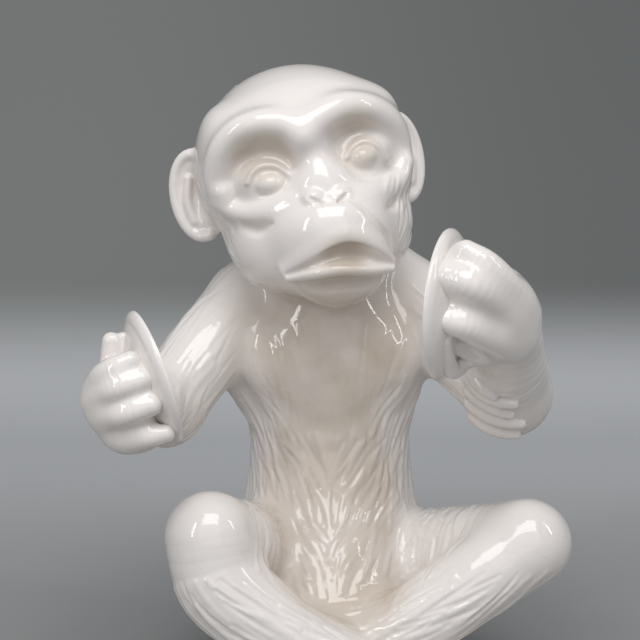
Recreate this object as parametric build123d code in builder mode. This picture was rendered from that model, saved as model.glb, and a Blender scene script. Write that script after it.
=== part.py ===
from build123d import *
import os

# A seated monkey in white glazed earthenware, cast in separate pieces that are luted together before
# glazing. It faces -Y and sits cross-legged with its seat and feet on Z = 0. Its raised hands hold
# a pair of dished cymbals. "Right" and "left" are the monkey's own, so right lies towards -X.
# Each piece starts as a full form and then loses what the piece that it is luted onto fills, so that
# neighbours meet face to face. Torso and head are hollow, and vent through the neck and the seat.
# Tables of shares hold directions or places as X, Y, Z.

# Clay shared by all pieces; past a joint a limb goes on a little slimmer than the joint's own swell
wall = 5.0
overrun = 4.0
inner_start_share = 0.96

# Torso: rings stacked from the seat to the top of the neck
torso_height = 196.0
torso_half_width = 47.0
torso_half_depth = 41.0
# Each ring: share of the height, of the half width, of the half depth, and how far back it lies as a
# share of the half depth
torso_ring_shares = (
    (0.00, 0.82, 0.84, 0.06),
    (0.10, 0.97, 0.98, 0.07),
    (0.22, 0.98, 1.00, 0.05),
    (0.34, 0.89, 0.93, 0.01),
    (0.46, 0.80, 0.82, -0.02),
    (0.58, 0.80, 0.81, -0.01),
    (0.71, 0.89, 0.88, 0.02),
    (0.81, 0.86, 0.86, 0.06),
    (0.90, 0.64, 0.70, 0.08),
    (1.00, 0.46, 0.52, 0.04),
)
# What swells the torso out past its rings: half width, half depth and half height, then place aside,
# forward and up, as shares of the torso's half width, half depth and height
chest_shares = (0.53, 0.44, 0.14, 0.36, 0.43, 0.70)
shoulder_blade_shares = (0.50, 0.46, 0.16, 0.36, -0.50, 0.72)
throat_shares = (0.53, 0.56, 0.11, -0.08, 0.20, 0.92)
nape_shares = (0.52, 0.59, 0.13, -0.04, -0.05, 1.02)
lap_shares = (0.98, 0.83, 0.125, 0.04, 1.12, 0.10)
seat_vent_radius = 6.5
seat_vent_back = 20.0
neck_vent_radius = 4.0

# Head: its centre lies at eye level; the whole head is turned and tipped about that centre
head_above_neck = 31.0
head_aside = -12.0
head_forward = 16.0
head_turn = 10.0
head_tip = -10.0
skull_half_width = 47.0
skull_half_depth = 47.5
skull_half_height = 42.0
skull_lift = 4.0
jaw_half_width = 40.0
jaw_half_height = 35.5
jaw_forward = 13.0
jaw_drop = 22.0
muzzle_half_width = 32.0
muzzle_half_height = 26.0
muzzle_forward = 30.0
muzzle_drop = 37.5
lip_mass_half_width = 24.0
lip_mass_half_height = 16.0
lip_mass_forward = 38.0
lip_mass_drop = 27.0
temple_half_width = 13.0
temple_half_height = 26.0
temple_aside = 33.0
temple_forward = 13.0
temple_lift = 6.0

# Brows: a round roll that arches over each eye and wraps back round the skull
brow_roll_radius = 4.8
brow_arch_radius = 19.0
brow_aside = 20.5
brow_forward = 38.5
brow_lift = 1.5
brow_wrap = 20.0
brow_start = -25.0
brow_sweep = 215.0

# Eyes, set in a hollow socket
socket_radius = 15.0
socket_half_depth = 12.0
socket_forward = 50.0
eye_half_width = 8.0
eye_half_height = 6.5
eye_aside = 19.5
eye_forward = 38.0

# Nose and mouth
nose_half_width = 10.5
nose_half_height = 8.0
nose_forward = 49.5
nose_drop = 12.0
nostril_radius = 2.6
nostril_aside = 5.6
nostril_rise = 5.0
mouth_half_width = 23.0
mouth_half_height = 4.4
mouth_half_depth = 13.0
mouth_forward = 57.0
mouth_drop = 41.5
lip_half_width = 20.0
lip_half_height = 5.0
lip_half_depth = 9.0
lip_forward = 50.0
lip_below_mouth = 7.5

# Ears: a flat shell with a scooped face, flared out from the head
ear_half_width = 13.5
ear_half_height = 20.5
ear_half_depth = 6.0
ear_aside = 50.0
ear_back = 6.0
ear_drop = 7.0
ear_flare = 28.0
ear_rim = 4.0

# Arms: a shoulder in the torso, then the elbow and the wrist by length and direction
shoulder_aside = 38.0
shoulder_below_neck = 32.0
shoulder_radius = 20.0
upper_arm_length = 64.0
upper_arm_radius = 20.0
elbow_radius = 18.0
forearm_length = 52.0
forearm_radius = 16.5
wrist_radius = 12.5
right_upper_arm_shares = (-0.50, -0.53, -0.685)
right_forearm_shares = (-0.30, -0.95, 0.11)
left_upper_arm_shares = (0.673, -0.433, -0.60)
left_forearm_shares = (-0.13, -0.775, 0.62)

# Hands: a palm and four bent fingers with a thumb, placed from the wrist in shares of the hand's length
hand_length = 45.0
palm_half_width = 12.0
palm_half_height = 18.0
finger_root_share = 0.35
finger_radius = 5.4
fingertip_radius = 4.2
right_palm_shares = (0.00, -0.33, 0.18)
left_palm_shares = (-0.18, -0.49, 0.32)
# The swell under the palm: its place and its half height as a share of the palm's
right_heel_shares = (0.15, -0.35, -0.10)
left_heel_shares = (-0.05, -0.36, 0.10)
right_heel_height_share = 0.50
left_heel_height_share = 0.74
# Each finger: knuckle, middle joint, tip
right_finger_shares = (
    ((-0.11, -0.55, 0.40), (0.01, -0.66, 0.49), (0.16, -0.66, 0.55)),
    ((-0.06, -0.59, 0.25), (0.07, -0.72, 0.33), (0.27, -0.69, 0.39)),
    ((0.00, -0.59, 0.06), (0.13, -0.70, 0.11), (0.35, -0.72, 0.18)),
    ((0.13, -0.50, -0.15), (0.29, -0.62, -0.11), (0.46, -0.60, -0.09)),
)
right_thumb_shares = ((-0.06, -0.19, 0.31), (-0.07, -0.24, 0.51), (-0.06, -0.26, 0.69))
left_finger_shares = (
    ((-0.07, -0.76, 0.47), (-0.22, -0.89, 0.63), (-0.51, -0.85, 0.80)),
    ((-0.17, -0.78, 0.23), (-0.32, -0.95, 0.37), (-0.54, -0.94, 0.48)),
    ((-0.24, -0.72, 0.00), (-0.39, -0.87, 0.09), (-0.55, -0.92, 0.16)),
    ((-0.38, -0.58, -0.11), (-0.46, -0.68, -0.05), (-0.52, -0.72, -0.01)),
)
left_thumb_shares = ((-0.32, -0.32, -0.35), (-0.53, -0.65, -0.32), (-0.62, -0.83, -0.08))

# Cymbals: dished plates, the left one thrown a little larger; the middle of the back is placed from
# the wrist in shares of the hand's length
right_cymbal_radius = 28.3
left_cymbal_radius = 31.0
cymbal_dish = 10.0
cymbal_thickness = 3.4
right_cymbal_shares = (0.09, -0.32, 0.28)
left_cymbal_shares = (-0.38, -0.54, 0.28)
right_cymbal_face_shares = (0.90, 0.30, 0.30)
left_cymbal_face_shares = (-0.94, 0.34, 0.06)

# Legs: a hip in the torso, then the knee by length and direction; calf and ankle are placed in shares of
# the thigh's length, the calf from the knee and the ankle in plan from the hip
hip_aside = 22.0
hip_back = 8.0
hip_height = 36.0
hip_radius = 27.0
thigh_length = 96.0
thigh_radius = 23.5
knee_radius = 17.5
knee_hollow_radius = 18.0
calf_radius = 18.5
shin_radius = 15.5
ankle_radius = 12.0
ankle_height = 15.5
right_thigh_shares = (-0.315, -0.869, 0.383)
right_calf_shares = (0.13, -0.03, -0.27)
right_ankle_shares = (0.396, -0.917)
left_thigh_shares = (0.653, -0.690, 0.313)
left_calf_shares = (-0.276, -0.083, -0.229)
left_ankle_shares = (-0.229, -0.708)

# Feet: a sole that runs on from the ankle, the ball of the foot, and five toes; flat where they stand
foot_length = 52.0
foot_half_width = 14.5
foot_half_height = 15.5
foot_lift = 5.0
ball_half_height = 11.0
ball_lift = 7.0
sole_place_share = 0.34
sole_half_share = 0.46
ball_place_share = 0.66
toe_place_share = 0.72
# Each toe, the big one first: reach, radius and place aside as shares of the foot's half width
toe_shares = (
    (0.90, 0.44, 0.72),
    (1.03, 0.36, 0.34),
    (0.97, 0.34, -0.05),
    (0.83, 0.32, -0.43),
    (0.62, 0.30, -0.82),
)
right_foot_shares = (0.99, 0.14)
left_foot_shares = (-0.98, -0.16)

os.makedirs("parts", exist_ok=True)


def toward(shares, length):
    """A step of the given length in the direction of the shares."""
    return Vector(*shares).normalized() * length


def fold(joints, radii):
    """A bent digit: straight tapered lengths, each with a round end that the next one starts in."""
    with BuildPart() as digit:
        for index, (start, end) in enumerate(zip(joints, joints[1:])):
            run = end - start
            start_radius, end_radius = radii[index] * inner_start_share, radii[index + 1]
            across = run.cross(Vector(0, 0, 1))
            with BuildSketch(Plane(origin=start, x_dir=run, z_dir=across)):
                with BuildLine():
                    Polyline((run.length, end_radius), (0, start_radius), (0, 0), (run.length + end_radius, 0))
                    CenterArc((run.length, 0), end_radius, 0, 90)
                make_face()
            revolve(axis=Axis(start, run))
    return digit.part


def egg(half_width, half_depth, half_height, centre=(0, 0, 0), turn=(0, 0, 0)):
    """A round form of three half sizes, turned in place."""
    with BuildPart() as ball:
        Sphere(1)
        scale(by=(half_width, half_depth, half_height))
    return Location(centre, turn) * ball.part


def limb(joints, joint_radii, middle_radii):
    """One casting of a limb: from each joint to the next a swelling segment with round ends."""
    with BuildPart() as casting:
        for index, middle_radius in enumerate(middle_radii):
            start, end = joints[index], joints[index + 1]
            start_radius, end_radius = joint_radii[index], joint_radii[index + 1]
            if index:
                start_radius *= inner_start_share
            run = end - start
            across = run.cross(Vector(0, 0, 1))
            with BuildSketch(Plane(origin=start, x_dir=run, z_dir=across)):
                with BuildLine():
                    CenterArc((0, 0), start_radius, 90, 90)
                    Spline(
                        (0, start_radius),
                        (run.length / 2, middle_radius),
                        (run.length, end_radius),
                        tangents=((1, 0), (1, 0)),
                    )
                    CenterArc((run.length, 0), end_radius, 0, 90)
                    Line((-start_radius, 0), (run.length + end_radius, 0))
                make_face()
            revolve(axis=Axis(start, run))
    return casting.part


def stack(inset):
    """The torso's form, drawn in on all sides by the inset."""
    with BuildPart() as form:
        for height_share, width_share, depth_share, back_share in torso_ring_shares:
            level = inset + (torso_height - inset * 2) * height_share
            with BuildSketch(Plane.XY.offset(level)):
                with Locations((0, torso_half_depth * back_share)):
                    Ellipse(
                        torso_half_width * width_share - inset,
                        torso_half_depth * depth_share - inset,
                    )
        loft()
    return form.part


def sculpt_head():
    """The head's outer form about its own centre, facing -Y."""
    masses = [
        egg(skull_half_width, skull_half_depth, skull_half_height, (0, 0, skull_lift)),
        egg(jaw_half_width, jaw_half_width, jaw_half_height, (0, -jaw_forward, -jaw_drop)),
        egg(
            muzzle_half_width,
            muzzle_half_width,
            muzzle_half_height,
            (0, -muzzle_forward, -muzzle_drop),
        ),
        egg(nose_half_width, nose_half_width, nose_half_height, (0, -nose_forward, -nose_drop)),
        egg(
            lip_mass_half_width,
            lip_mass_half_width,
            lip_mass_half_height,
            (0, -lip_mass_forward, -lip_mass_drop),
        ),
    ]
    hollows = [
        egg(mouth_half_width, mouth_half_depth, mouth_half_height, (0, -mouth_forward, -mouth_drop)),
    ]
    eyes = []
    for side in (-1, 1):
        masses.append(
            egg(
                temple_half_width,
                temple_half_height,
                temple_half_height,
                (side * temple_aside, -temple_forward, temple_lift),
            )
        )
        hollows.append(
            egg(socket_radius, socket_half_depth, socket_radius, (side * brow_aside, -socket_forward, 0))
        )
        nostril_place = (side * nostril_aside, -nose_forward - nostril_rise, -nose_drop)
        hollows.append(egg(nostril_radius, nostril_radius * 2, nostril_radius, nostril_place))
        eyes.append(
            egg(eye_half_width, eye_half_height, eye_half_height, (side * eye_aside, -eye_forward, 0))
        )
    lip = egg(
        lip_half_width,
        lip_half_depth,
        lip_half_height,
        (0, -lip_forward, -mouth_drop - lip_below_mouth),
    )
    with BuildPart() as head_shape:
        add(masses)
        for side in (-1, 1):
            brow_place = Location((side * brow_aside, -brow_forward, brow_lift), (0, 0, side * brow_wrap))
            with Locations(brow_place * Rotation(90, 0, 0) * Rotation(0, 0, brow_start)):
                Torus(brow_arch_radius, brow_roll_radius, major_angle=brow_sweep)
        add(hollows, mode=Mode.SUBTRACT)
        add(eyes + [lip])
    return head_shape.part


def scoop_ear():
    """The right ear about the head's centre: an egg shell scooped on its face."""
    ear_place = Location((-ear_aside, ear_back, -ear_drop), (0, 0, -ear_flare))
    shell = ear_place * egg(ear_half_width, ear_half_depth, ear_half_height)
    scoop = ear_place * egg(
        ear_half_width - ear_rim,
        ear_half_depth,
        ear_half_height - ear_rim,
        (0, -ear_half_depth, 0),
    )
    with BuildPart() as ear_shape:
        add(shell)
        add(scoop, mode=Mode.SUBTRACT)
    return ear_shape.part


def clasp(wrist, palm_centre, heel_shares, heel_height_share, finger_shares, thumb_shares):
    """A hand: palm and heel, and from the palm's middle each finger, bent at the knuckle and once more."""
    digits = []
    for shares in (*finger_shares, thumb_shares):
        joints = [wrist + Vector(*place) * hand_length for place in shares]
        joints.insert(0, palm_centre + (joints[0] - palm_centre) * finger_root_share)
        digits.append(fold(joints, (finger_radius, finger_radius, finger_radius, fingertip_radius)))
    palm = egg(palm_half_width, palm_half_width, palm_half_height, palm_centre)
    heel_centre = wrist + Vector(*heel_shares) * hand_length
    heel = egg(palm_half_width, palm_half_width, palm_half_height * heel_height_share, heel_centre)
    with BuildPart() as hand_shape:
        add([palm, heel])
        add(fold((wrist, palm_centre), (wrist_radius, wrist_radius)))
        add(digits)
    return hand_shape.part


def dish(apex, face, radius, filled):
    """A dished plate of even thickness whose apex is the middle of its back. Filled, it is instead
    all that lies from its back forwards."""
    bowl_radius = (radius**2 + cymbal_dish**2) / (cymbal_dish * 2)
    rim_angle = Vector(bowl_radius - cymbal_dish, radius).get_angle(Vector(1, 0))
    bowl_centre = (bowl_radius + cymbal_thickness, 0)
    rim_start = 180 - rim_angle
    with BuildPart() as plate:
        with BuildSketch(Plane(origin=apex, x_dir=face, z_dir=face.cross(Vector(0, 0, 1)))):
            with BuildLine():
                outer = CenterArc(bowl_centre, bowl_radius + cymbal_thickness, rim_start, rim_angle)
                if filled:
                    Polyline(outer @ 0, outer @ 0 + Vector(hand_length, 0), (hand_length, 0), outer @ 1)
                else:
                    inner = CenterArc(bowl_centre, bowl_radius, rim_start, rim_angle)
                    Line(inner @ 0, outer @ 0)
                    Line(inner @ 1, outer @ 1)
            make_face()
        revolve(axis=Axis(apex, face))
    return plate.part


def tread(ankle, shares, side):
    """A foot that runs on from the ankle and stands flat on the ground, its big toe on the inner side."""
    heading = Vector(*shares).normalized()
    aside = Vector(heading.Y, -heading.X) * side
    turn = (0, 0, Vector(1, 0).get_signed_angle(heading))
    ground = Vector(ankle.X, ankle.Y)
    sole_place = ground + heading * foot_length * sole_place_share + Vector(0, 0, foot_lift)
    ball_place = ground + heading * foot_length * ball_place_share + Vector(0, 0, ball_lift)
    masses = [
        egg(foot_length * sole_half_share, foot_half_width, foot_half_height, sole_place, turn),
        egg(foot_half_width, foot_half_width, ball_half_height, ball_place, turn),
    ]
    for reach_share, radius_share, aside_share in toe_shares:
        toe_radius = foot_half_width * radius_share
        root = ground + heading * foot_length * toe_place_share + aside * foot_half_width * aside_share
        root += Vector(0, 0, toe_radius)
        masses.append(fold((root, root + heading * foot_half_width * reach_share), (toe_radius, toe_radius)))
    with BuildPart() as foot_shape:
        add(masses)
        split(bisect_by=Plane.XY)
    return foot_shape.part


def swell(shares, side=1):
    """An egg on the torso, from its row of shares; the side mirrors its place."""
    width_share, depth_share, height_share, aside_share, forward_share, up_share = shares
    place = (
        torso_half_width * aside_share * side,
        torso_half_depth * -forward_share,
        torso_height * up_share,
    )
    half_height = torso_height * height_share
    return egg(torso_half_width * width_share, torso_half_depth * depth_share, half_height, place)


# Full forms, before any is cut by its neighbours
with BuildPart() as trunk:
    add(stack(0))
    add([swell(shares, side) for shares in (chest_shares, shoulder_blade_shares) for side in (-1, 1)])
    add([swell(shares) for shares in (throat_shares, nape_shares, lap_shares)])
    split(bisect_by=Plane.XY)
torso_form = trunk.part
torso_hollow = stack(wall)

head_centre = Vector(head_aside, -head_forward, torso_height + head_above_neck)
head_place = Location(head_centre) * Rotation(0, head_tip, 0) * Rotation(0, 0, head_turn)
head_shape = sculpt_head()
head_form = head_place * head_shape
ear_shape = scoop_ear()
with BuildPart() as fitted_ear:
    add(ear_shape)
    add(head_shape, mode=Mode.SUBTRACT)
ear_forms = {
    "right": head_place * fitted_ear.part,
    "left": head_place * mirror(fitted_ear.part, about=Plane.YZ),
}
head_hollow = head_place * egg(
    skull_half_width - wall * 2,
    skull_half_depth - wall * 2,
    skull_half_height - wall * 2,
    (0, 0, skull_lift),
)

arm_forms = {}
hand_forms = {}
cymbal_forms = {}
cymbal_fronts = {}
for name, side, upper_shares, fore_shares, palm_shares, hand_shares, plate_shares in (
    (
        "right",
        -1,
        right_upper_arm_shares,
        right_forearm_shares,
        right_palm_shares,
        (right_heel_shares, right_heel_height_share, right_finger_shares, right_thumb_shares),
        (right_cymbal_shares, right_cymbal_face_shares, right_cymbal_radius),
    ),
    (
        "left",
        1,
        left_upper_arm_shares,
        left_forearm_shares,
        left_palm_shares,
        (left_heel_shares, left_heel_height_share, left_finger_shares, left_thumb_shares),
        (left_cymbal_shares, left_cymbal_face_shares, left_cymbal_radius),
    ),
):
    shoulder = Vector(side * shoulder_aside, 0, torso_height - shoulder_below_neck)
    elbow = shoulder + toward(upper_shares, upper_arm_length)
    wrist = elbow + toward(fore_shares, forearm_length)
    arm_forms[name] = limb(
        (shoulder, elbow, wrist),
        (shoulder_radius, elbow_radius, wrist_radius),
        (upper_arm_radius, forearm_radius),
    )
    palm_centre = wrist + Vector(*palm_shares) * hand_length
    hand_forms[name] = clasp(wrist, palm_centre, *hand_shares)
    apex = wrist + Vector(*plate_shares[0]) * hand_length
    face = Vector(*plate_shares[1]).normalized()
    cymbal_forms[name] = dish(apex, face, plate_shares[2], False)
    cymbal_fronts[name] = dish(apex, face, plate_shares[2], True)

leg_forms = {}
foot_forms = {}
for name, side, thigh_shares, calf_shares, ankle_shares, foot_shares in (
    ("right", -1, right_thigh_shares, right_calf_shares, right_ankle_shares, right_foot_shares),
    ("left", 1, left_thigh_shares, left_calf_shares, left_ankle_shares, left_foot_shares),
):
    hip = Vector(side * hip_aside, hip_back, hip_height)
    knee = hip + toward(thigh_shares, thigh_length)
    calf = knee + Vector(*calf_shares) * thigh_length
    ankle = hip + Vector(*ankle_shares) * thigh_length
    ankle.Z = ankle_height
    leg_forms[name] = limb(
        (hip, knee, calf, ankle),
        (hip_radius, knee_radius, calf_radius, ankle_radius),
        (thigh_radius, knee_hollow_radius, shin_radius),
    )
    foot_forms[name] = tread(ankle, foot_shares, -side)

with BuildPart() as seat_vent:
    with Locations((0, seat_vent_back, 0)):
        Cylinder(seat_vent_radius, (wall + overrun) * 2)

neck_top = Vector(0, torso_half_depth * torso_ring_shares[-1][3], torso_height)
with BuildPart() as neck_vent:
    with Locations(neck_top):
        Cylinder(neck_vent_radius, (head_above_neck + overrun) * 2)

# Finished pieces
with BuildPart() as torso:
    add(torso_form)
    add(torso_hollow, mode=Mode.SUBTRACT)
    add([seat_vent.part, neck_vent.part], mode=Mode.SUBTRACT)
torso.part.label = "torso"
export_step(torso.part, "parts/torso.step")

with BuildPart() as head:
    add(head_form)
    add([head_hollow, neck_vent.part, torso_form], mode=Mode.SUBTRACT)
head.part.label = "head"
export_step(head.part, "parts/head.step")

for name in ("right", "left"):
    with BuildPart() as ear:
        add(ear_forms[name])
    ear.part.label = "ear_" + name
    export_step(ear.part, "parts/ear_" + name + ".step")

    with BuildPart() as cymbal:
        add(cymbal_forms[name])
    cymbal.part.label = "cymbal_" + name
    export_step(cymbal.part, "parts/cymbal_" + name + ".step")

    with BuildPart() as arm:
        add(arm_forms[name])
        add([torso_form, head_form, cymbal_fronts[name]], mode=Mode.SUBTRACT)
    arm.part.label = "arm_" + name
    export_step(arm.part, "parts/arm_" + name + ".step")

    with BuildPart() as hand:
        add(hand_forms[name])
        add([arm_forms[name], cymbal_fronts[name]], mode=Mode.SUBTRACT)
    hand.part.label = "hand_" + name
    export_step(hand.part, "parts/hand_" + name + ".step")

for name, crossed_under in (("right", []), ("left", [leg_forms["right"]])):
    with BuildPart() as leg:
        add(leg_forms[name])
        add([torso_form] + crossed_under, mode=Mode.SUBTRACT)
    leg.part.label = "leg_" + name
    export_step(leg.part, "parts/leg_" + name + ".step")

for name, beside in (("right", []), ("left", [foot_forms["right"]])):
    with BuildPart() as foot:
        add(foot_forms[name])
        add([torso_form, leg_forms["right"], leg_forms["left"]] + beside, mode=Mode.SUBTRACT)
    foot.part.label = "foot_" + name
    export_step(foot.part, "parts/foot_" + name + ".step")
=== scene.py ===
import bpy
import math
import numpy as np
from bpy.props import FloatProperty, FloatVectorProperty, PointerProperty
from mathutils import Matrix, Vector


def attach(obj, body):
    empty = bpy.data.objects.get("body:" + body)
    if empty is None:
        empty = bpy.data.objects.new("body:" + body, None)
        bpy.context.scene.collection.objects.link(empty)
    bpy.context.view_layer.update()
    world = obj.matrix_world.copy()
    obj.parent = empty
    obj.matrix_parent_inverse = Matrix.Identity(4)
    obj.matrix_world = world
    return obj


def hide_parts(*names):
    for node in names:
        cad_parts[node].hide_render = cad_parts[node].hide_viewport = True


bl_info = {
    "name": "Glazed monkey figurine",
    "version": (1, 0, 0),
    "blender": (4, 5, 0),
    "location": "View3D > Sidebar > Monkey",
    "description": "Sculpts a seated monkey in white glazed earthenware, piece by piece",
    "category": "Object",
}

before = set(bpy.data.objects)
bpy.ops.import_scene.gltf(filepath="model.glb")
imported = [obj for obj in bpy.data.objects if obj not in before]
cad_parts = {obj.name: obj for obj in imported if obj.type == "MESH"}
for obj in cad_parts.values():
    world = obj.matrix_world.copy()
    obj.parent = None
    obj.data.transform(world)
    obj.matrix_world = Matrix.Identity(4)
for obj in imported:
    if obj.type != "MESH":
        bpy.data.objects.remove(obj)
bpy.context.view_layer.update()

# Places and sizes are in millimetres in the figure's own frame unless said otherwise: Z up from the
# seat, the monkey facing -Y, "right" its own right hand side at -X.
MM = 0.001
# The field where there is no clay, and how far from a stroke its field is worked out
AIR = 30.0
REACH = 9.0
# The least length that anything is divided by, and the least square of a length or pull of a comb mark
TINY = 1e-6
FAINT = 1e-9


# Clay: signed distances on a grid, worked with balls and limbs, and cast into a mesh

# How far to each side a slope is measured, as a share of the grid's step
SLOPE_SHARE = 0.7
# Steps in which a column's rings and a limb's knots are rounded
COLUMN_BENDS = 8
LIMB_BENDS = 5


class Clay:
    """A block of air and clay on a regular grid; the field is negative inside the clay."""

    def __init__(self, low, high, step):
        self.low = np.array(low, float)
        self.step = float(step)
        counts = np.ceil((np.array(high, float) - self.low) / step).astype(int) + 1
        self.axes = [(self.low[i] + step * np.arange(counts[i])).astype(np.float32) for i in range(3)]
        self.shape = tuple(counts)

    def window(self, low, high):
        """The part of the grid between two corners, with its coordinates ready to broadcast."""
        spans = []
        for i in range(3):
            first = max(0, int(np.floor((low[i] - self.low[i]) / self.step)))
            last = min(self.shape[i], int(np.ceil((high[i] - self.low[i]) / self.step)) + 1)
            spans.append(slice(first, max(first, last)))
        x = self.axes[0][spans[0]][:, None, None]
        y = self.axes[1][spans[1]][None, :, None]
        z = self.axes[2][spans[2]][None, None, :]
        return tuple(spans), x, y, z

    def fill(self, strokes):
        """The field of a list of strokes: each is +1 to add or -1 to cut, a shape and a blend."""
        field = np.full(self.shape, AIR, np.float32)
        for sign, shape, blend in strokes:
            low, high = shape.box(blend + REACH)
            spans, x, y, z = self.window(low, high)
            if min(s.stop - s.start for s in spans) < 1:
                continue
            distance = shape.distance(x, y, z)
            field[spans] = sign * soft_min(sign * field[spans], distance, blend)
        return field

    def sample(self, field, points):
        """The field's value at points, interpolated between the grid's corners."""
        place = (points - self.low) / self.step
        cell = np.clip(np.floor(place).astype(int), 0, np.array(self.shape) - 2)
        part = np.clip(place - cell, 0.0, 1.0)
        total = np.zeros(len(points))
        for corner in np.ndindex(2, 2, 2):
            weight = np.prod(np.where(np.array(corner) == 1, part, 1.0 - part), axis=1)
            i, j, k = (cell + corner).T
            total += weight * field[i, j, k]
        return total

    def slope(self, field, points):
        """The field's gradient at points."""
        reach = self.step * SLOPE_SHARE
        sides = np.eye(3) * reach
        parts = [self.sample(field, points + s) - self.sample(field, points - s) for s in sides]
        return np.stack(parts, 1) / (2 * reach)


def soft_min(a, b, blend):
    """The lower of two fields, rounded where they are within the blend of each other."""
    if blend <= 0:
        return np.minimum(a, b)
    near = np.maximum(blend - np.abs(a - b), 0.0) / blend
    return np.minimum(a, b) - near * near * blend * 0.25


def turned(x=0.0, y=0.0, z=0.0):
    """A rotation by degrees about X, then Y, then Z."""
    angles = [math.radians(a) for a in (x, y, z)]
    turns = [Matrix.Rotation(a, 3, axis) for a, axis in zip(angles, "XYZ")]
    return np.array(turns[2] @ turns[1] @ turns[0])


class Ball:
    """An ellipsoid: centre, three radii and a turn."""

    def __init__(self, centre, radii, turn=None):
        self.centre = np.array(centre, float)
        self.radii = np.array(radii, float) if np.ndim(radii) else np.full(3, float(radii))
        self.turn = np.eye(3) if turn is None else np.array(turn, float)

    def moved(self, place, turn):
        return Ball(place + turn @ self.centre, self.radii, turn @ self.turn)

    def box(self, pad):
        extent = np.sqrt(((self.turn * self.radii) ** 2).sum(1)) + pad
        return self.centre - extent, self.centre + extent

    def distance(self, x, y, z):
        offset = (x - self.centre[0], y - self.centre[1], z - self.centre[2])
        near, far = 0.0, 0.0
        for axis in range(3):
            along = sum(np.float32(self.turn[i, axis]) * offset[i] for i in range(3))
            near = near + (along / np.float32(self.radii[axis])) ** 2
            far = far + (along / np.float32(self.radii[axis] ** 2)) ** 2
        near = np.sqrt(near)
        return near * (near - 1.0) / np.maximum(np.sqrt(far), TINY)


class Limb:
    """A tube along a smooth curve; each knot is a place and a radius."""

    def __init__(self, knots, bends=LIMB_BENDS):
        knots = np.array(knots, float)
        self.knots = rounded(knots, bends) if len(knots) > 2 else knots

    def moved(self, place, turn):
        limb = Limb(self.knots[:2])
        limb.knots = np.column_stack([self.knots[:, :3] @ turn.T + place, self.knots[:, 3]])
        return limb

    def box(self, pad):
        places, radii = self.knots[:, :3], self.knots[:, 3:]
        return (places - radii).min(0) - pad, (places + radii).max(0) + pad

    def distance(self, x, y, z):
        nearest = None
        for start, end in zip(self.knots, self.knots[1:]):
            run = (end - start).astype(np.float32)
            px, py, pz = x - start[0], y - start[1], z - start[2]
            length = max(float(run[:3] @ run[:3]), FAINT)
            share = np.clip((px * run[0] + py * run[1] + pz * run[2]) / np.float32(length), 0, 1)
            px, py, pz = px - share * run[0], py - share * run[1], pz - share * run[2]
            distance = np.sqrt(px * px + py * py + pz * pz) - (start[3] + run[3] * share)
            nearest = distance if nearest is None else np.minimum(nearest, distance)
        return nearest.astype(np.float32)


def rounded(knots, bends):
    """More knots, on a smooth curve through the given ones."""
    ends = np.concatenate([2 * knots[:1] - knots[1:2], knots, 2 * knots[-1:] - knots[-2:-1]])
    curve = []
    for a, b, c, d in zip(ends, ends[1:], ends[2:], ends[3:]):
        for t in np.arange(bends) / bends:
            first = 2 * b + (c - a) * t
            second, third = 2 * a - 5 * b + 4 * c - d, 3 * b - a - 3 * c + d
            curve.append(0.5 * (first + second * t**2 + third * t**3))
    curve.append(knots[-1])
    return np.array(curve)


class Column:
    """An upright form of oval rings; each ring is a height, half width, half depth and set back."""

    def __init__(self, rings):
        self.rings = rounded(np.array(rings, float), COLUMN_BENDS)

    def box(self, pad):
        wide, deep = self.rings[:, 1].max(), (self.rings[:, 2] + np.abs(self.rings[:, 3])).max()
        low = np.array([-wide, -deep, self.rings[0, 0]])
        high = np.array([wide, deep, self.rings[-1, 0]])
        return low - pad, high + pad

    def distance(self, x, y, z):
        level = self.rings[:, 0]
        wide, deep, back = (np.interp(z, level, self.rings[:, i]).astype(np.float32) for i in (1, 2, 3))
        y = y - back
        near = np.sqrt((x / wide) ** 2 + (y / deep) ** 2)
        far = np.sqrt((x / wide**2) ** 2 + (y / deep**2) ** 2)
        side = near * (near - 1.0) / np.maximum(far, TINY)
        over = np.maximum(z - np.float32(level[-1]), np.float32(level[0]) - z)
        return np.maximum(side, over + np.zeros_like(side)).astype(np.float32)


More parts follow.
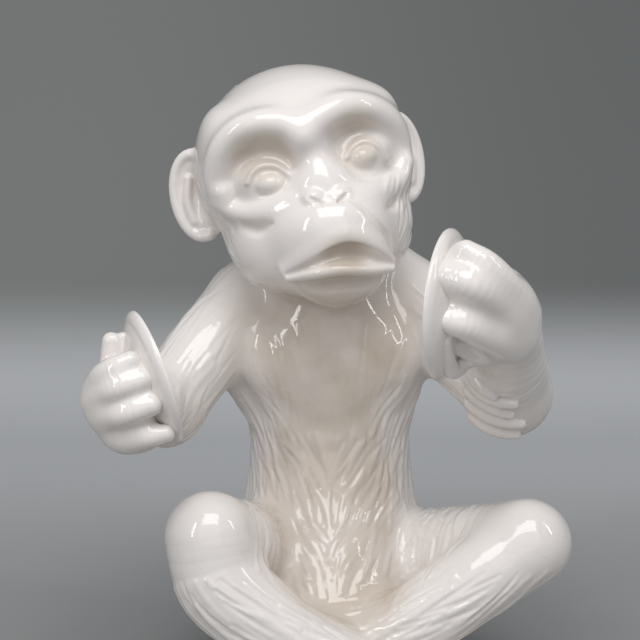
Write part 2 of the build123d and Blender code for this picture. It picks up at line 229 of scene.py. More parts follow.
def cast(field, low, step):
    """A closed mesh of quads where the field crosses zero, one vertex in each crossed cell."""
    inside = field < 0
    cells_shape = tuple(n - 1 for n in field.shape)
    count = np.zeros(cells_shape, np.int8)
    corners = list(np.ndindex(2, 2, 2))
    for i, j, k in corners:
        count += inside[i : i + cells_shape[0], j : j + cells_shape[1], k : k + cells_shape[2]]
    crossed = (count > 0) & (count < 8)
    cells = np.argwhere(crossed)
    number = np.full(cells_shape, -1, np.int64)
    number[crossed] = np.arange(len(cells))
    value = {c: field[tuple((cells + c).T)] for c in corners}
    places = np.zeros((len(cells), 3))
    crossings = np.zeros(len(cells))
    for axis in range(3):
        for first in corners:
            if first[axis]:
                continue
            second = tuple(1 if i == axis else first[i] for i in range(3))
            a, b = value[first], value[second]
            crosses = (a < 0) != (b < 0)
            share = np.where(crosses, a / np.where(crosses, a - b, 1.0), 0.0)
            spot = np.tile(np.array(first, float), (len(cells), 1))
            spot[:, axis] = share
            places += spot * crosses[:, None]
            crossings += crosses
    places = np.array(low) + step * (cells + places / crossings[:, None])
    quads = []
    for axis in range(3):
        others = [i for i in range(3) if i != axis]
        here, there = [slice(None)] * 3, [slice(None)] * 3
        here[axis], there[axis] = slice(0, -1), slice(1, None)
        for other in others:
            here[other] = there[other] = slice(1, -1)
        changes = np.argwhere(inside[tuple(here)] != inside[tuple(there)])
        enters = inside[tuple(there)][tuple(changes.T)]
        changes[:, others] += 1
        ring = []
        for first, second in ((-1, -1), (0, -1), (0, 0), (-1, 0)):
            cell = changes.copy()
            cell[:, others[0]] += first
            cell[:, others[1]] += second
            ring.append(number[tuple(cell.T)])
        quad = np.stack(ring, 1)
        flip = ~enters if axis == 1 else enters
        quad[flip] = quad[flip][:, ::-1]
        quads.append(quad)
    return places, np.concatenate(quads)


def spread(field, cells):
    """The field averaged over a cube of cells round each grid corner."""
    for axis in range(3):
        padded = np.concatenate(
            [np.repeat(np.take(field, [0], axis), cells + 1, axis), field]
            + [np.repeat(np.take(field, [-1], axis), cells, axis)],
            axis,
        )
        running = np.cumsum(padded, axis, dtype=np.float64)
        width = 2 * cells + 1
        later = np.take(running, range(width, running.shape[axis]), axis)
        earlier = np.take(running, range(0, running.shape[axis] - width), axis)
        field = ((later - earlier) / width).astype(np.float32)
    return field


def loose_field(strokes, points):
    """The field of a list of strokes at loose points; strokes out of their reach are left out."""
    x, y, z = (points[:, i].astype(np.float32) for i in range(3))
    lowest, highest = points.min(0), points.max(0)
    field = np.full(len(points), AIR, np.float32)
    for sign, shape, blend in strokes:
        low, high = shape.box(blend + REACH)
        if (low > highest).any() or (high < lowest).any():
            continue
        field = sign * soft_min(sign * field, shape.distance(x, y, z), blend)
    return field


# The figure's skeleton, close to that of its solids

TORSO_HEIGHT = 196.0
TORSO_HALF_WIDTH = 47.0
TORSO_HALF_DEPTH = 41.0
# Height, half width, half depth and set back, as shares of the three sizes above
TORSO_RING_SHARES = (
    (0.00, 0.82, 0.84, 0.06),
    (0.10, 0.97, 0.98, 0.07),
    (0.22, 0.98, 1.00, 0.05),
    (0.34, 0.89, 0.93, 0.01),
    (0.46, 0.80, 0.82, -0.02),
    (0.58, 0.80, 0.81, -0.01),
    (0.71, 0.89, 0.88, 0.02),
    (0.81, 0.86, 0.86, 0.06),
    (0.90, 0.64, 0.70, 0.08),
    (1.00, 0.46, 0.52, 0.04),
)
HEAD_CENTRE = np.array((-12.0, -16.0, 227.0))
HEAD_TURN = turned(y=-10.0) @ turned(z=10.0)
SHOULDER = {"right": (-38, 0, 164), "left": (38, 0, 164)}
ELBOW = {"right": (-73.0, -34.5, 121.5), "left": (80.0, -27.0, 126.5)}
WRIST = {"right": (-86.0, -84.0, 126.0), "left": (74.5, -66.5, 156.5)}
PALM = {"right": (-85.5, -98.0, 134.0), "left": (67.0, -89.5, 170.0)}
HIP = {"right": (-22, 8, 36), "left": (22, 8, 36)}
KNEE = {"right": (-50.5, -76.0, 73.0), "left": (84.5, -58.0, 66.0)}
CALF = {"right": (-45.0, -78.0, 53.0), "left": (62.5, -64.0, 51.5)}
SHIN = {"right": (-20.0, -80.0, 32.0), "left": (33.0, -66.0, 32.0)}
ANKLE = {"right": (16.0, -80.0, 15.5), "left": (0.0, -60.0, 16.5)}
SIDES = ("right", "left")


def knot(place, radius):
    return (*place, radius)


def between(a, b, share):
    return tuple(p + (q - p) * share for p, q in zip(a, b))


def shifted(place, x=0.0, y=0.0, z=0.0):
    return (place[0] + x, place[1] + y, place[2] + z)


def placed(strokes, place, turn):
    """The strokes turned and then moved."""
    return [(sign, shape.moved(place, turn), blend) for sign, shape, blend in strokes]


def on_head(strokes):
    """Strokes in the head's own frame, set in the figure."""
    return placed(strokes, HEAD_CENTRE, HEAD_TURN)


def torso_strokes():
    """The trunk, with its chest, belly, shoulder blades and neck."""
    sizes = (TORSO_HEIGHT, TORSO_HALF_WIDTH, TORSO_HALF_DEPTH, TORSO_HALF_DEPTH)
    rings = [[share * size for share, size in zip(ring, sizes)] for ring in TORSO_RING_SHARES]
    strokes = [(1, Column(rings), 0)]
    for side in (-1, 1):
        strokes += [
            (1, Ball((side * 18, -20, 140), (20, 11.5, 17)), 12),
            (1, Ball((side * 20, 26, 142), (17, 12, 24)), 12),
            (1, Ball((side * 20, 18, 22), (24, 22, 20)), 10),
            (1, Limb([(side * 8, 4, 192, 16), (side * 26, 5, 181, 14), (side * 40, 2, 169, 13)]), 10),
        ]
    strokes += [
        (1, Ball((0, -18, 66), (32, 22, 30)), 12),
        (1, Ball((2, -46, 20), (46, 34, 25)), 12),
        (1, Ball((1, -35, 38), (30, 26, 34)), 14),
        (1, Limb([(-38, -4, 152, 12), (-38, -6, 131, 10.5), (-33, -8, 116, 6)]), 6),
        (1, Limb([(36, -4, 152, 10), (34, -6, 131, 8.5), (31, -8, 116, 6)]), 6),
        (1, Limb([(-8, -14, 196, 22), (-3, -6, 176, 26), (0, 2, 160, 26)]), 8),
        (-1, Limb([(0, -44, 156, 3), (0, -40, 132, 3)]), 7),
        (-1, Limb([(0, 44, 165, 3), (0, 39, 120, 4), (0, 38, 84, 4), (0, 46, 50, 3)]), 8),
        (-1, Limb([(-30, -34, 124, 2.5), (-14, -38, 114, 3), (0, -39, 112, 3), (14, -38, 115, 3),
                   (30, -33, 126, 2.5)]), 7),
        (-1, Limb([(-34, -24, 44, 3), (-28, -38, 54, 3), (-20, -46, 66, 2)]), 8),
    ]
    return strokes


# Radii at the shoulder, the middle of the upper arm, the elbow and the middle of the forearm, and then
# at the wrist; the upper arm's middle is raised a little
ARM_RADII = {"right": (18.5, 18.2, 16.4, 14.8), "left": (19.5, 19.8, 18.0, 16.6)}
FOREARM_END = {"right": 12.0, "left": 13.5}
ARM_RISE = 2.2


def arm_strokes(side):
    """Upper arm and forearm of one side."""
    shoulder, elbow, wrist = SHOULDER[side], ELBOW[side], WRIST[side]
    thick = ARM_RADII[side]
    upper = [
        knot(shoulder, thick[0]),
        knot(shifted(between(shoulder, elbow, 0.5), z=ARM_RISE), thick[1]),
        knot(elbow, thick[2]),
    ]
    fore = [
        knot(elbow, thick[2]),
        knot(between(elbow, wrist, 0.5), thick[3]),
        knot(wrist, FOREARM_END[side]),
    ]
    return [(1, Limb(upper), 0), (1, Limb(fore), 6)]


# Radii of hip, mid-thigh, lower thigh and knee, then of calf and shank, and of knee and ankle in the shin
THIGH_RADII = (27.0, 24.0, 19.5, 17.8)
LOWER_LEG = {"right": (19.0, 16.5), "left": (17.2, 15.6)}
SHIN_KNEE, SHIN_ANKLE = 17.0, 12.0


def leg_strokes(side):
    """Thigh and shin of one side; the shins cross in front of the seat."""
    hip, knee = HIP[side], KNEE[side]
    thigh = [
        knot(hip, THIGH_RADII[0]),
        knot(shifted(between(hip, knee, 0.5), z=-1), THIGH_RADII[1]),
        knot(between(hip, knee, 0.85), THIGH_RADII[2]),
        knot(knee, THIGH_RADII[3]),
    ]
    calf, shank = LOWER_LEG[side]
    shin = [
        knot(knee, SHIN_KNEE),
        knot(CALF[side], calf),
        knot(SHIN[side], shank),
        knot(ANKLE[side], SHIN_ANKLE),
    ]
    return [(1, Limb(thigh), 0), (1, Limb(shin), 6)]


# Toes, from the big one: how far they stand out past the sole and their radius
TOES = ((13.0, 6.6), (15.0, 5.2), (14.0, 5.0), (12.0, 4.7), (9.0, 4.3))
FOOT_HEADING = {"right": (0.99, 0.14), "left": (-0.98, -0.16)}
FOOT_LENGTH = 52.0
# Where along the foot the sole's and the ball's middles and the toes' roots lie
SOLE_SHARE, BALL_SHARE, TOE_SHARE = 0.34, 0.66, 0.72
# How far the big toe lies to one side, and the step from each toe to the next
TOE_ASIDE, TOE_PITCH = 10.5, 5.6


def foot_strokes(side):
    """A sole, its heel and five toes, lying on the ground."""
    ankle, heading = np.array(ANKLE[side]), np.array((*FOOT_HEADING[side], 0.0))
    across = np.array((heading[1], -heading[0], 0.0)) * (1 if side == "right" else -1)
    turn = turned(z=math.degrees(math.atan2(heading[1], heading[0])))
    ground = np.array((ankle[0], ankle[1], 0.0))
    sole = ground + heading * FOOT_LENGTH * SOLE_SHARE + (0, 0, 5)
    strokes = [
        (1, Ball(sole, (FOOT_LENGTH * 0.46, 14.5, 15.5), turn), 0),
        (1, Ball(ground + heading * FOOT_LENGTH * BALL_SHARE + (0, 0, 7), (15, 14.5, 11), turn), 6),
        (1, Ball(ground - heading * 3 + (0, 0, 8), (12, 12, 11), turn), 6),
    ]
    for index, (reach, radius) in enumerate(TOES):
        aside = across * (TOE_ASIDE - TOE_PITCH * index)
        root = ground + heading * FOOT_LENGTH * TOE_SHARE + aside + (0, 0, radius + 3.5)
        tip = ground + heading * (FOOT_LENGTH * TOE_SHARE + reach) + aside * 1.12 + (0, 0, radius + 1.0)
        middle = (root + tip) / 2 + (0, 0, 2.4)
        toe = [knot(root, radius * 1.02), knot(middle, radius * 0.96), knot(tip, radius)]
        strokes.append((1, Limb(toe), 1.8))
    return strokes


# Fingers from the knuckle to the tip, each knot a place and a radius
FINGERS = {
    "right": (
        ((-94, -100, 138.5, 4.8), (-90.5, -108, 143.8, 5.0), (-85, -113, 147.8, 4.8),
         (-78.5, -113, 150.8, 4.0)),
        ((-93.7, -102, 132.4, 5.0), (-88.4, -110, 137.2, 5.2), (-82.4, -115.5, 140.8, 5.0),
         (-73.5, -114.5, 143.6, 4.2)),
        ((-90.7, -102, 126.6, 5.0), (-85.6, -110, 128.8, 5.2), (-79.6, -115, 130.8, 5.0),
         (-70, -115.5, 133.8, 4.2)),
        ((-86, -98, 119.4, 5.0), (-79.7, -106, 119.2, 5.0), (-72.4, -111, 120.8, 4.6),
         (-65, -110.5, 122, 3.6)),
    ),
    "left": (
        ((78.0, -90, 168.9, 5.6), (69.6, -102, 179, 6.0), (60.5, -108, 187.8, 5.8),
         (52.5, -107, 193.2, 4.6)),
        ((72.8, -90, 162.4, 6.2), (64, -103, 173.1, 6.8), (54.5, -111, 180, 6.6),
         (44.9, -109, 183.4, 5.2)),
        ((71, -86, 153.5, 6.0), (61.7, -100, 158.6, 6.2), (52.5, -108, 164.1, 5.8),
         (44.7, -108, 166.1, 4.6)),
        ((62.9, -84, 149.6, 4.8), (57.5, -90, 151.5, 4.4), (53, -94, 153.5, 3.6), (50, -96, 155.5, 3.2)),
    ),
}
THUMBS = {
    "right": (
        ((-88.5, -92, 140, 5.2), (-88.6, -94, 149, 4.4), (-88.2, -95, 156.8, 3.7)),
        ((-83.5, -96, 146, 2.8), (-83, -97, 152, 2.6), (-83.2, -97, 158.4, 2.3)),
    ),
    "left": (
        ((57, -84, 151, 4.2), (49.5, -91, 144.5, 3.6), (46.2, -99, 150, 3.2), (44.8, -105, 158, 2.8)),
    ),
}
# How far the fingers run into each other; the left ones are modelled as one mass with furrows
FINGER_BLEND = {"right": 4.4, "left": 6.0}
# Balls of clay that make up a palm: place and radii
PALM_MASSES = {
    "right": (
        ((-85.5, -98, 134), (12.0, 12.5, 15.5)),
        ((-79, -99, 121.5), (13.0, 12.0, 9.4)),
        ((-76.5, -107.5, 136), (8.0, 8.0, 16.5)),
    ),
    "left": (
        ((68.0, -90, 169), (13.0, 13.0, 18.0)),
        ((73, -84, 161), (12.5, 12.5, 14.0)),
        ((54.5, -99.5, 176), (10.0, 9.5, 16.0)),
        ((48.5, -104, 181), (6.5, 6.0, 13.0)),
    ),
}


def hand_strokes(side):
    """A fist closed round the back of a cymbal, with four bent fingers and a thumb."""
    palm = PALM[side]
    strokes = [(1, Ball(place, radii), 4) for place, radii in PALM_MASSES[side]]
    strokes.append((1, Limb([knot(WRIST[side], FOREARM_END[side] - 0.5), knot(palm, 12.0)]), 5))
    for finger in FINGERS[side]:
        back = between(palm, finger[0][:3], 0.6)
        strokes.append((1, Limb([knot(back, 6.5), *finger]), FINGER_BLEND[side]))
    strokes += [(1, Limb(thumb), 3.0) for thumb in THUMBS[side]]
    return strokes


# The face, in the head's own frame: its centre is at eye level, -Y is forward

SKULL = (
    (1, Ball((-1, 2, 4), (46, 47, 42)), 0),
    (1, Ball((0, -12, -20), (41, 38, 33)), 10),
    (1, Ball((0.5, -30, -35), (29.5, 30, 23.5)), 10),
    (1, Ball((-24, -20, -31), (16.5, 20, 18)), 8),
    (1, Ball((23, -20, -31), (15, 20, 18)), 8),
    (1, Ball((-35, -12, 6), (12, 20, 24)), 8),
    (1, Ball((32, -11, 4), (11, 20, 22)), 10),
    (1, Ball((0, -21, 20), (38, 23.5, 15)), 12),
)
BROWS = (
    ((-43, -26, -8, 3.6), (-43.5, -29, 2, 4.4), (-39.5, -35, 12.5, 5.0), (-32, -40, 19, 5.2),
     (-21.5, -43.5, 20.5, 5.2), (-12, -45.5, 18, 5.0), (-6.5, -46.5, 12.5, 4.6)),
    ((-4.5, -46.5, 13.0, 4.6), (2, -46.5, 18.5, 5.0), (13, -45, 21.5, 5.2), (25, -41, 19.3, 5.2),
     (34, -34.5, 13, 5.0), (38.5, -28, 4.5, 4.4), (38.5, -25.5, -6, 3.8), (36.5, -27, -13, 3.4)),
)
SOCKETS = (
    (-1, Ball((-22.5, -55, 3), (18.5, 16, 14.5)), 7),
    (-1, Ball((-44.9, -46, -1.7), (8.5, 9, 11)), 6),
    (-1, Ball((20.5, -54, 5), (18.5, 16, 14.5)), 7),
    (-1, Ball((-33, -46, 0), (9, 8, 10)), 8),
    (-1, Ball((32, -44, 2), (9, 8, 10)), 8),
)
EYES = (
    (1, Ball((-22, -34.5, -3), (12.5, 8.5, 9)), 5),
    (1, Ball((19.6, -34.5, 0.5), (12.5, 8.5, 9)), 5),
    (1, Ball((-22, -38.6, -4.9), (7.2, 7.2, 5.2)), 0.9),
    (1, Ball((19.1, -38.6, -0.4), (6.8, 7.2, 5.4)), 0.9),
)
# What lies on the face: each line hugs the skin, sunk by so much or standing off it
EYELIDS = (
    ((-31.5, -46, -3, 0.9), (-28.1, -48, 1.3, 1.3), (-23.4, -50, 2.9, 1.4), (-17.8, -50, 1.3, 1.3),
     (-12.3, -50, -4, 0.9)),
    ((11.9, -50, 0.5, 0.9), (15.2, -50, 4.1, 1.3), (20.6, -50, 5.7, 1.4), (25.8, -48, 2.8, 1.3),
     (29.4, -46, -3, 0.9)),
)
EYE_BAGS = (
    ((-41.2, -40, -5.3, 2.6), (-39, -44, -11.8, 3.6), (-32.6, -48, -15.4, 4.0), (-24.7, -50, -15.9, 4.0),
     (-17.1, -52, -13.2, 3.2), (-12.5, -54, -9.8, 2.2)),
    ((6.5, -54, -9.1, 2.2), (11, -52, -13.4, 3.2), (17.8, -50, -16.2, 4.0), (26.2, -46, -15.6, 4.0),
     (34.5, -40, -11.9, 3.4), (39.5, -36, -6, 2.6)),
)
UNDER_BAGS = (
    ((-36.5, -52, -20.2, 1.2), (-30.4, -54, -22.6, 2.0), (-24.4, -54, -21.4, 1.2)),
    ((15, -54, -22.8, 1.2), (22, -54, -24.2, 2.0), (30, -52, -22, 1.2)),
)
NOSE = (
    (1, Limb([(-5, -42.0, 12, 4.5), (-3, -42.5, 4, 6.0), (-1.5, -44, -4, 7.5)]), 6),
    (1, Ball((0, -38, -26), (24, 23.5, 16)), 8),
    (1, Ball((-1.0, -46, -9.5), (11, 7.2, 8)), 6),
    (1, Ball((-7.2, -52.8, -14.2), (4.6, 4.2, 4.0)), 1.8),
    (1, Ball((4.6, -52.8, -15.0), (4.6, 4.2, 4.0)), 1.8),
    (1, Ball((-1.2, -54.6, -16.4), (2.0, 2.6, 2.6)), 1.2),
    (-1, Limb([(-9.6, -56.6, -13.2, 0.7), (-7.4, -57.6, -15.2, 1.4), (-4.9, -57.4, -16.5, 1.0)]), 0.8),
    (-1, Limb([(7.1, -56.6, -14.0, 0.7), (4.8, -57.6, -16.0, 1.4), (2.3, -57.4, -17.2, 1.0)]), 0.8),
)
# The crease beside the muzzle, and the soft dent under the lower lip
CREASES = (
    ((8.4, -64, -17.5, 0.8), (16.6, -62, -27.7, 1.3), (22.7, -60, -37.1, 1.4), (24.9, -58, -46, 0.8)),
)
SOFT_CREASES = (
    ((-15, -62, -50.5, 1.4), (0, -66, -51.5, 2.2), (15, -62, -53, 1.4)),
)
MUZZLE = (
    (1, Ball((1.5, -40.5, -49), (17, 12.8, 12.5)), 6),
    (1, Limb([(-23, -46, -41.6, 1.6), (-13, -53.4, -36.0, 2.3), (-3, -57.6, -31.4, 2.7),
              (4, -58.4, -31.2, 2.8), (13, -55.4, -36.6, 2.5), (22.5, -48.2, -45.2, 1.6)]), 4.5),
    (1, Limb([(-22, -46.6, -45.0, 1.6), (-12.4, -54.2, -44.6, 2.3), (-3.5, -57.6, -44.6, 2.8),
              (4.4, -57.6, -45.8, 3.0), (13.1, -54.2, -47.6, 2.5), (21.5, -48.6, -49.0, 1.6)]), 3),
    (-1, Limb([(-22.8, -48.8, -43.3, 0.6), (-11.7, -57.2, -40.6, 2.2), (-2.8, -59.2, -38.6, 4.2),
               (3.9, -59.4, -39.2, 4.8), (12.5, -57.2, -42.4, 3.3), (22.4, -50.6, -47.2, 0.6)]), 1.4),
)


def draped(knots, strokes, sink):
    """A tube whose knots are drawn back onto the skin of the strokes, then sunk into it."""
    knots = np.array(knots, float)
    for _ in range(6):
        knots[:, 1] += loose_field(strokes, knots[:, :3])
    knots[:, 1] += sink
    return Limb(knots)


def head_strokes():
    """The head's forms in its own frame, set in place."""
    strokes = list(SKULL) + list(SOCKETS)
    strokes += [(1, Limb(brow), 8) for brow in BROWS]
    strokes += [(1, draped(bag, strokes, 0.6), 5) for bag in EYE_BAGS]
    strokes += [(-1, draped(dip, strokes, -0.6), 3) for dip in UNDER_BAGS]
    strokes += list(EYES)
    strokes += [(1, draped(lid, strokes, -0.3), 1.6) for lid in EYELIDS]
    strokes += list(NOSE) + list(MUZZLE)
    strokes += [(-1, draped(crease, strokes, -0.6), 1.6) for crease in CREASES]
    strokes += [(-1, draped(crease, strokes, -1.4), 3.5) for crease in SOFT_CREASES]
    return on_head(strokes)


# An ear in its own frame: X outward, -Y its open face; the other is its mirror image
EAR_PLACE = {"right": (-47.5, 7.0, -4.0), "left": (42.5, -3.0, -3.0)}
EAR_FLARE = 28.0
# Half the width and height that the rolled rim runs round, and from where to where it runs in degrees
EAR_RIM_HALF = (11.0, 18.6)
EAR_RIM_ARC = range(-100, 161, 20)


def ear_strokes(side):
    """A shell with a rolled rim, a scooped face and an inner fold."""
    out = -1 if side == "right" else 1
    rim = []
    for degrees in EAR_RIM_ARC:
        angle = math.radians(degrees)
        wide, high = EAR_RIM_HALF[0] * math.cos(angle), EAR_RIM_HALF[1] * math.sin(angle)
        rim.append((out * wide, -2.2, high, 2.5))
    strokes = [
        (1, Ball((0, 0, 0), (12.6, 4.4, 20.6)), 0),
        (1, Limb(rim, bends=2), 2),
        (-1, Ball((out * 0.5, -6.2, 2), (8.2, 5.6, 14)), 2),
        (1, Limb([(out * 3.6, -2.6, -11, 1.8), (out * 5.2, -2.6, -2, 2.0), (out * 3.0, -2.4, 8, 1.6)]), 2),
        (1, Ball((out * -6.5, -4.0, -4), (3.4, 3.4, 5.0)), 3),
    ]
    turn = turned(z=out * EAR_FLARE)
    return on_head(placed(strokes, np.array(EAR_PLACE[side]), turn))


# Every casting: its strokes, and the neighbours that it is luted to with the blend at each seam
CASTINGS = {
    "torso": (
        torso_strokes(),
        {"arm_right": 9, "arm_left": 9, "leg_right": 8, "leg_left": 8, "head": 6},
    ),
    "head": (
        head_strokes(),
        {"torso": 6, "ear_right": 2.5, "ear_left": 2.5, "arm_right": 2, "arm_left": 2},
    ),
}
for SIDE in SIDES:
    OTHER = "left" if SIDE == "right" else "right"
    CASTINGS["ear_" + SIDE] = (ear_strokes(SIDE), {"head": 2.5})
    CASTINGS["arm_" + SIDE] = (arm_strokes(SIDE), {"torso": 9, "hand_" + SIDE: 4, "head": 2})
    CASTINGS["hand_" + SIDE] = (hand_strokes(SIDE), {"arm_" + SIDE: 4})
    CASTINGS["leg_" + SIDE] = (
        leg_strokes(SIDE),
        {"torso": 8, "leg_" + OTHER: 3, "foot_" + SIDE: 5, "foot_" + OTHER: 1.5},
    )
    CASTINGS["foot_" + SIDE] = (
        foot_strokes(SIDE),
        {"leg_" + SIDE: 5, "leg_" + OTHER: 1.5, "foot_" + OTHER: 1.5},
    )


# The cymbals: the middle of each back, and the way that its hollow faces
PLATES = {
    "right": ((-81.6, -97.5, 138.5), (0.90, 0.30, 0.30)),
    "left": ((57.1, -92.0, 170.2), (-0.94, 0.34, 0.06)),
}
PLATE_RADIUS = {"right": 28.3, "left": 31.0}
PLATE_DISH = 10.0
PLATE_THICKNESS = 3.4
# How far a hand may sink into the plate that it holds, as a share of the plate's thickness, and how far
# past its edge the plate still holds the hand back
PLATE_SINK_SHARE = 0.6
PLATE_EDGE = 0.6
PLATE_BOX = 60


class PlateFront:
    """All that lies in front of a cymbal's back, which a hand that holds it may not pass."""

    def __init__(self, side):
        apex, face = PLATES[side]
        self.face = np.array(face) / np.linalg.norm(face)
        self.apex = np.array(apex) + self.face * PLATE_THICKNESS * PLATE_SINK_SHARE
        self.radius = PLATE_RADIUS[side]
        self.bowl = (self.radius**2 + PLATE_DISH**2) / (PLATE_DISH * 2)

    def box(self, pad):
        return self.apex - PLATE_BOX, self.apex + PLATE_BOX

    def distance(self, x, y, z):
        offset = (x - self.apex[0], y - self.apex[1], z - self.apex[2])
        along = sum(np.float32(self.face[i]) * offset[i] for i in range(3))
        square = sum(part * part for part in offset)
        aside = np.sqrt(np.maximum(square - along * along, 0.0))
        ahead = along - np.float32(self.bowl)
        bowl = np.sqrt(aside * aside + ahead * ahead) - np.float32(self.bowl)
        return np.maximum(bowl, aside - np.float32(self.radius + PLATE_EDGE)).astype(np.float32)


for SIDE in SIDES:
    CASTINGS["hand_" + SIDE][0].append((-1, PlateFront(SIDE), 0))
    CASTINGS["arm_" + SIDE][0].append((-1, PlateFront(SIDE), 0))

# The hole in the seat that let the air out in the kiln
SEAT_VENT = Limb([(0, 20, -6, 6.5), (0, 20, 34, 6.5)])
VENT_PAD = 4.0


# The figure's skin as a whole

# How far to each side its slope is measured
SLOPE_REACH = 0.8


def luted(fields):
    """The skin over the castings' fields, filled with slip along the seams between them."""
    skin = np.minimum.reduce(list(fields.values()))
    for first in fields:
        for second, blend in CASTINGS[first][1].items():
            if second in fields and first < second:
                skin = np.minimum(skin, soft_min(fields[first], fields[second], blend))
    return skin


def skin_at(points, names):
    """The skin's distance at loose points, from the castings named."""
    return luted({name: loose_field(CASTINGS[name][0], points) for name in names})


def unit(rows, least=TINY):
    """Each row as a direction of length one."""
    return rows / np.maximum(np.linalg.norm(rows, axis=1, keepdims=True), least)


def skin_slope(points, names):
    """The outward direction of the skin at loose points."""
    sides = np.eye(3) * SLOPE_REACH
    parts = [skin_at(points + s, names) - skin_at(points - s, names) for s in sides]
    return unit(np.stack(parts, 1))


# Fur: strokes that follow the skin, combed the way that listed marks point

# Each patch: the castings, its lowest and highest corner, spacing, length, width and depth of a stroke,
# and comb marks, each a place and the way that the fur lies there
FUR = (
    (("torso",), (-44, -60, 12), (44, -14, 110), 4.6, 19, 3.2, 0.44, (
        ((-30, -30, 104), (0.65, -0.2, -0.7)), ((30, -30, 104), (-0.65, -0.2, -0.7)),
        ((-9, -40, 96), (0.62, -0.1, -0.75)), ((9, -40, 96), (-0.62, -0.1, -0.75)),
        ((-8, -44, 60), (0.68, -0.1, -0.7)), ((8, -44, 60), (-0.68, -0.1, -0.7)),
        ((-38, -24, 62), (0.75, -0.5, -0.5)), ((38, -24, 62), (-0.75, -0.5, -0.5)),
        ((-30, -30, 24), (0.8, -0.4, -0.3)), ((30, -30, 24), (-0.8, -0.4, -0.3)))),
    (("torso",), (-42, -48, 108), (42, -20, 160), 8.0, 15, 3.6, 0.16, (
        ((-34, -24, 160), (0.55, 0, -0.8)), ((34, -24, 160), (-0.5, 0, -0.85)),
        ((0, -40, 150), (0.1, 0, -1.0)), ((0, -40, 120), (0.0, 0, -1.0)))),
    (("torso",), (-46, 8, 20), (46, 60, 192), 4.8, 20, 3.0, 0.5, (
        ((0, 45, 180), (0.0, 0, -1.0)), ((-30, 40, 150), (-0.45, 0, -0.9)), ((30, 40, 150), (0.45, 0, -0.9)),
        ((0, 42, 100), (0.05, 0, -1.0)), ((-34, 30, 90), (0.3, 0, -1.0)), ((34, 30, 90), (-0.3, 0, -1.0)),
        ((-30, 42, 40), (-0.6, 0, -0.6)), ((30, 42, 40), (0.6, 0, -0.6)))),
    (("torso",), (-50, -30, 30), (-26, 30, 130), 5.2, 19, 3.2, 0.3, (
        ((-42, 0, 120), (0.1, -0.5, -0.85)), ((-42, 0, 60), (0.1, -0.35, -1.0)))),
    (("torso",), (26, -30, 30), (50, 30, 130), 5.2, 19, 3.2, 0.3, (
        ((42, 0, 120), (-0.1, -0.5, -0.85)), ((42, 0, 60), (-0.1, -0.35, -1.0)))),
    (("arm_right",), (-92, -56, 98), (-36, 26, 182), 6.0, 24, 3.4, 0.2, (
        ((-44, -6, 176), (-0.75, -0.3, -0.6)), ((-60, -26, 150), (-0.5, -0.5, -0.7)),
        ((-74, -36, 118), (-0.35, -0.55, -0.65)), ((-70, -10, 130), (-0.3, -0.7, -0.6)))),
    (("arm_left",), (36, -54, 112), (68, 26, 182), 5.8, 22, 3.4, 0.24, (
        ((44, -6, 176), (0.75, -0.3, -0.6)), ((60, -26, 148), (0.65, -0.45, -0.6)),
        ((80, -34, 118), (0.7, -0.5, -0.3)), ((90, -20, 140), (0.2, -0.8, -0.2)))),
    (("leg_right",), (-80, -104, 20), (16, -10, 60), 4.8, 26, 3.3, 0.4, (
        ((-62, -80, 56), (0.55, 0.0, -0.8)), ((-40, -84, 46), (0.8, 0, -0.5)),
        ((0, -84, 28), (0.95, 0, -0.35)), ((-34, -52, 52), (0.45, 0.1, -0.85)))),
    (("leg_left",), (-16, -96, 20), (104, -10, 58), 4.8, 26, 3.3, 0.4, (
        ((88, -66, 50), (-0.75, 0.0, -0.65)), ((60, -70, 42), (-0.85, 0, -0.45)),
        ((20, -70, 24), (-0.95, 0, -0.3)), ((48, -46, 50), (-0.8, 0.1, -0.6)))),
    (("leg_right",), (-48, -72, 56), (-8, -10, 84), 5.0, 22, 3.2, 0.32, (
        ((-40, -54, 76), (0.35, -0.5, -0.75)), ((-20, -24, 62), (0.4, -0.4, -0.8)))),
    (("leg_left",), (8, -62, 54), (60, -10, 84), 5.0, 22, 3.2, 0.32, (
        ((44, -40, 76), (-0.35, -0.5, -0.75)), ((20, -24, 62), (-0.4, -0.4, -0.8)))),
    (("leg_right",), (-84, -60, 28), (-10, 30, 80), 5.4, 22, 3.2, 0.4, (
        ((-60, -30, 60), (-0.3, 0.6, -0.6)), ((-46, 0, 40), (-0.4, 0.7, -0.4)))),
    (("leg_left",), (10, -48, 26), (108, 30, 80), 5.4, 22, 3.2, 0.4, (
        ((70, -20, 60), (0.4, 0.6, -0.6)), ((46, 0, 40), (0.5, 0.7, -0.4)))),
    (("head",), (-66, -26, 232), (46, 40, 266), 5.6, 15, 2.8, 0.1, (
        ((-12, -52, 262), (0.0, 0.9, 0.4)), ((-50, -30, 250), (-0.5, 0.8, 0.1)),
        ((30, -30, 250), (0.5, 0.8, 0.1)), ((-12, 20, 262), (0, 0.8, -0.6)))),
    (("head",), (-66, -2, 176), (46, 40, 240), 4.6, 16, 2.8, 0.42, (
        ((-12, 34, 226), (0, 0.1, -1.0)), ((-50, 14, 210), (0.2, 0.1, -1.0)),
        ((34, 14, 210), (-0.2, 0.1, -1.0)))),
    (("head",), (-66, -46, 174), (-34, 0, 228), 3.8, 12, 2.5, 0.45, (
        ((-58, -20, 222), (0.0, -0.2, -0.95)), ((-50, -30, 190), (0.45, -0.4, -0.8)))),
    (("head",), (18, -46, 174), (46, 0, 226), 3.8, 12, 2.5, 0.4, (
        ((34, -20, 220), (-0.1, -0.2, -0.95)), ((28, -30, 190), (-0.55, -0.4, -0.8)))),
)
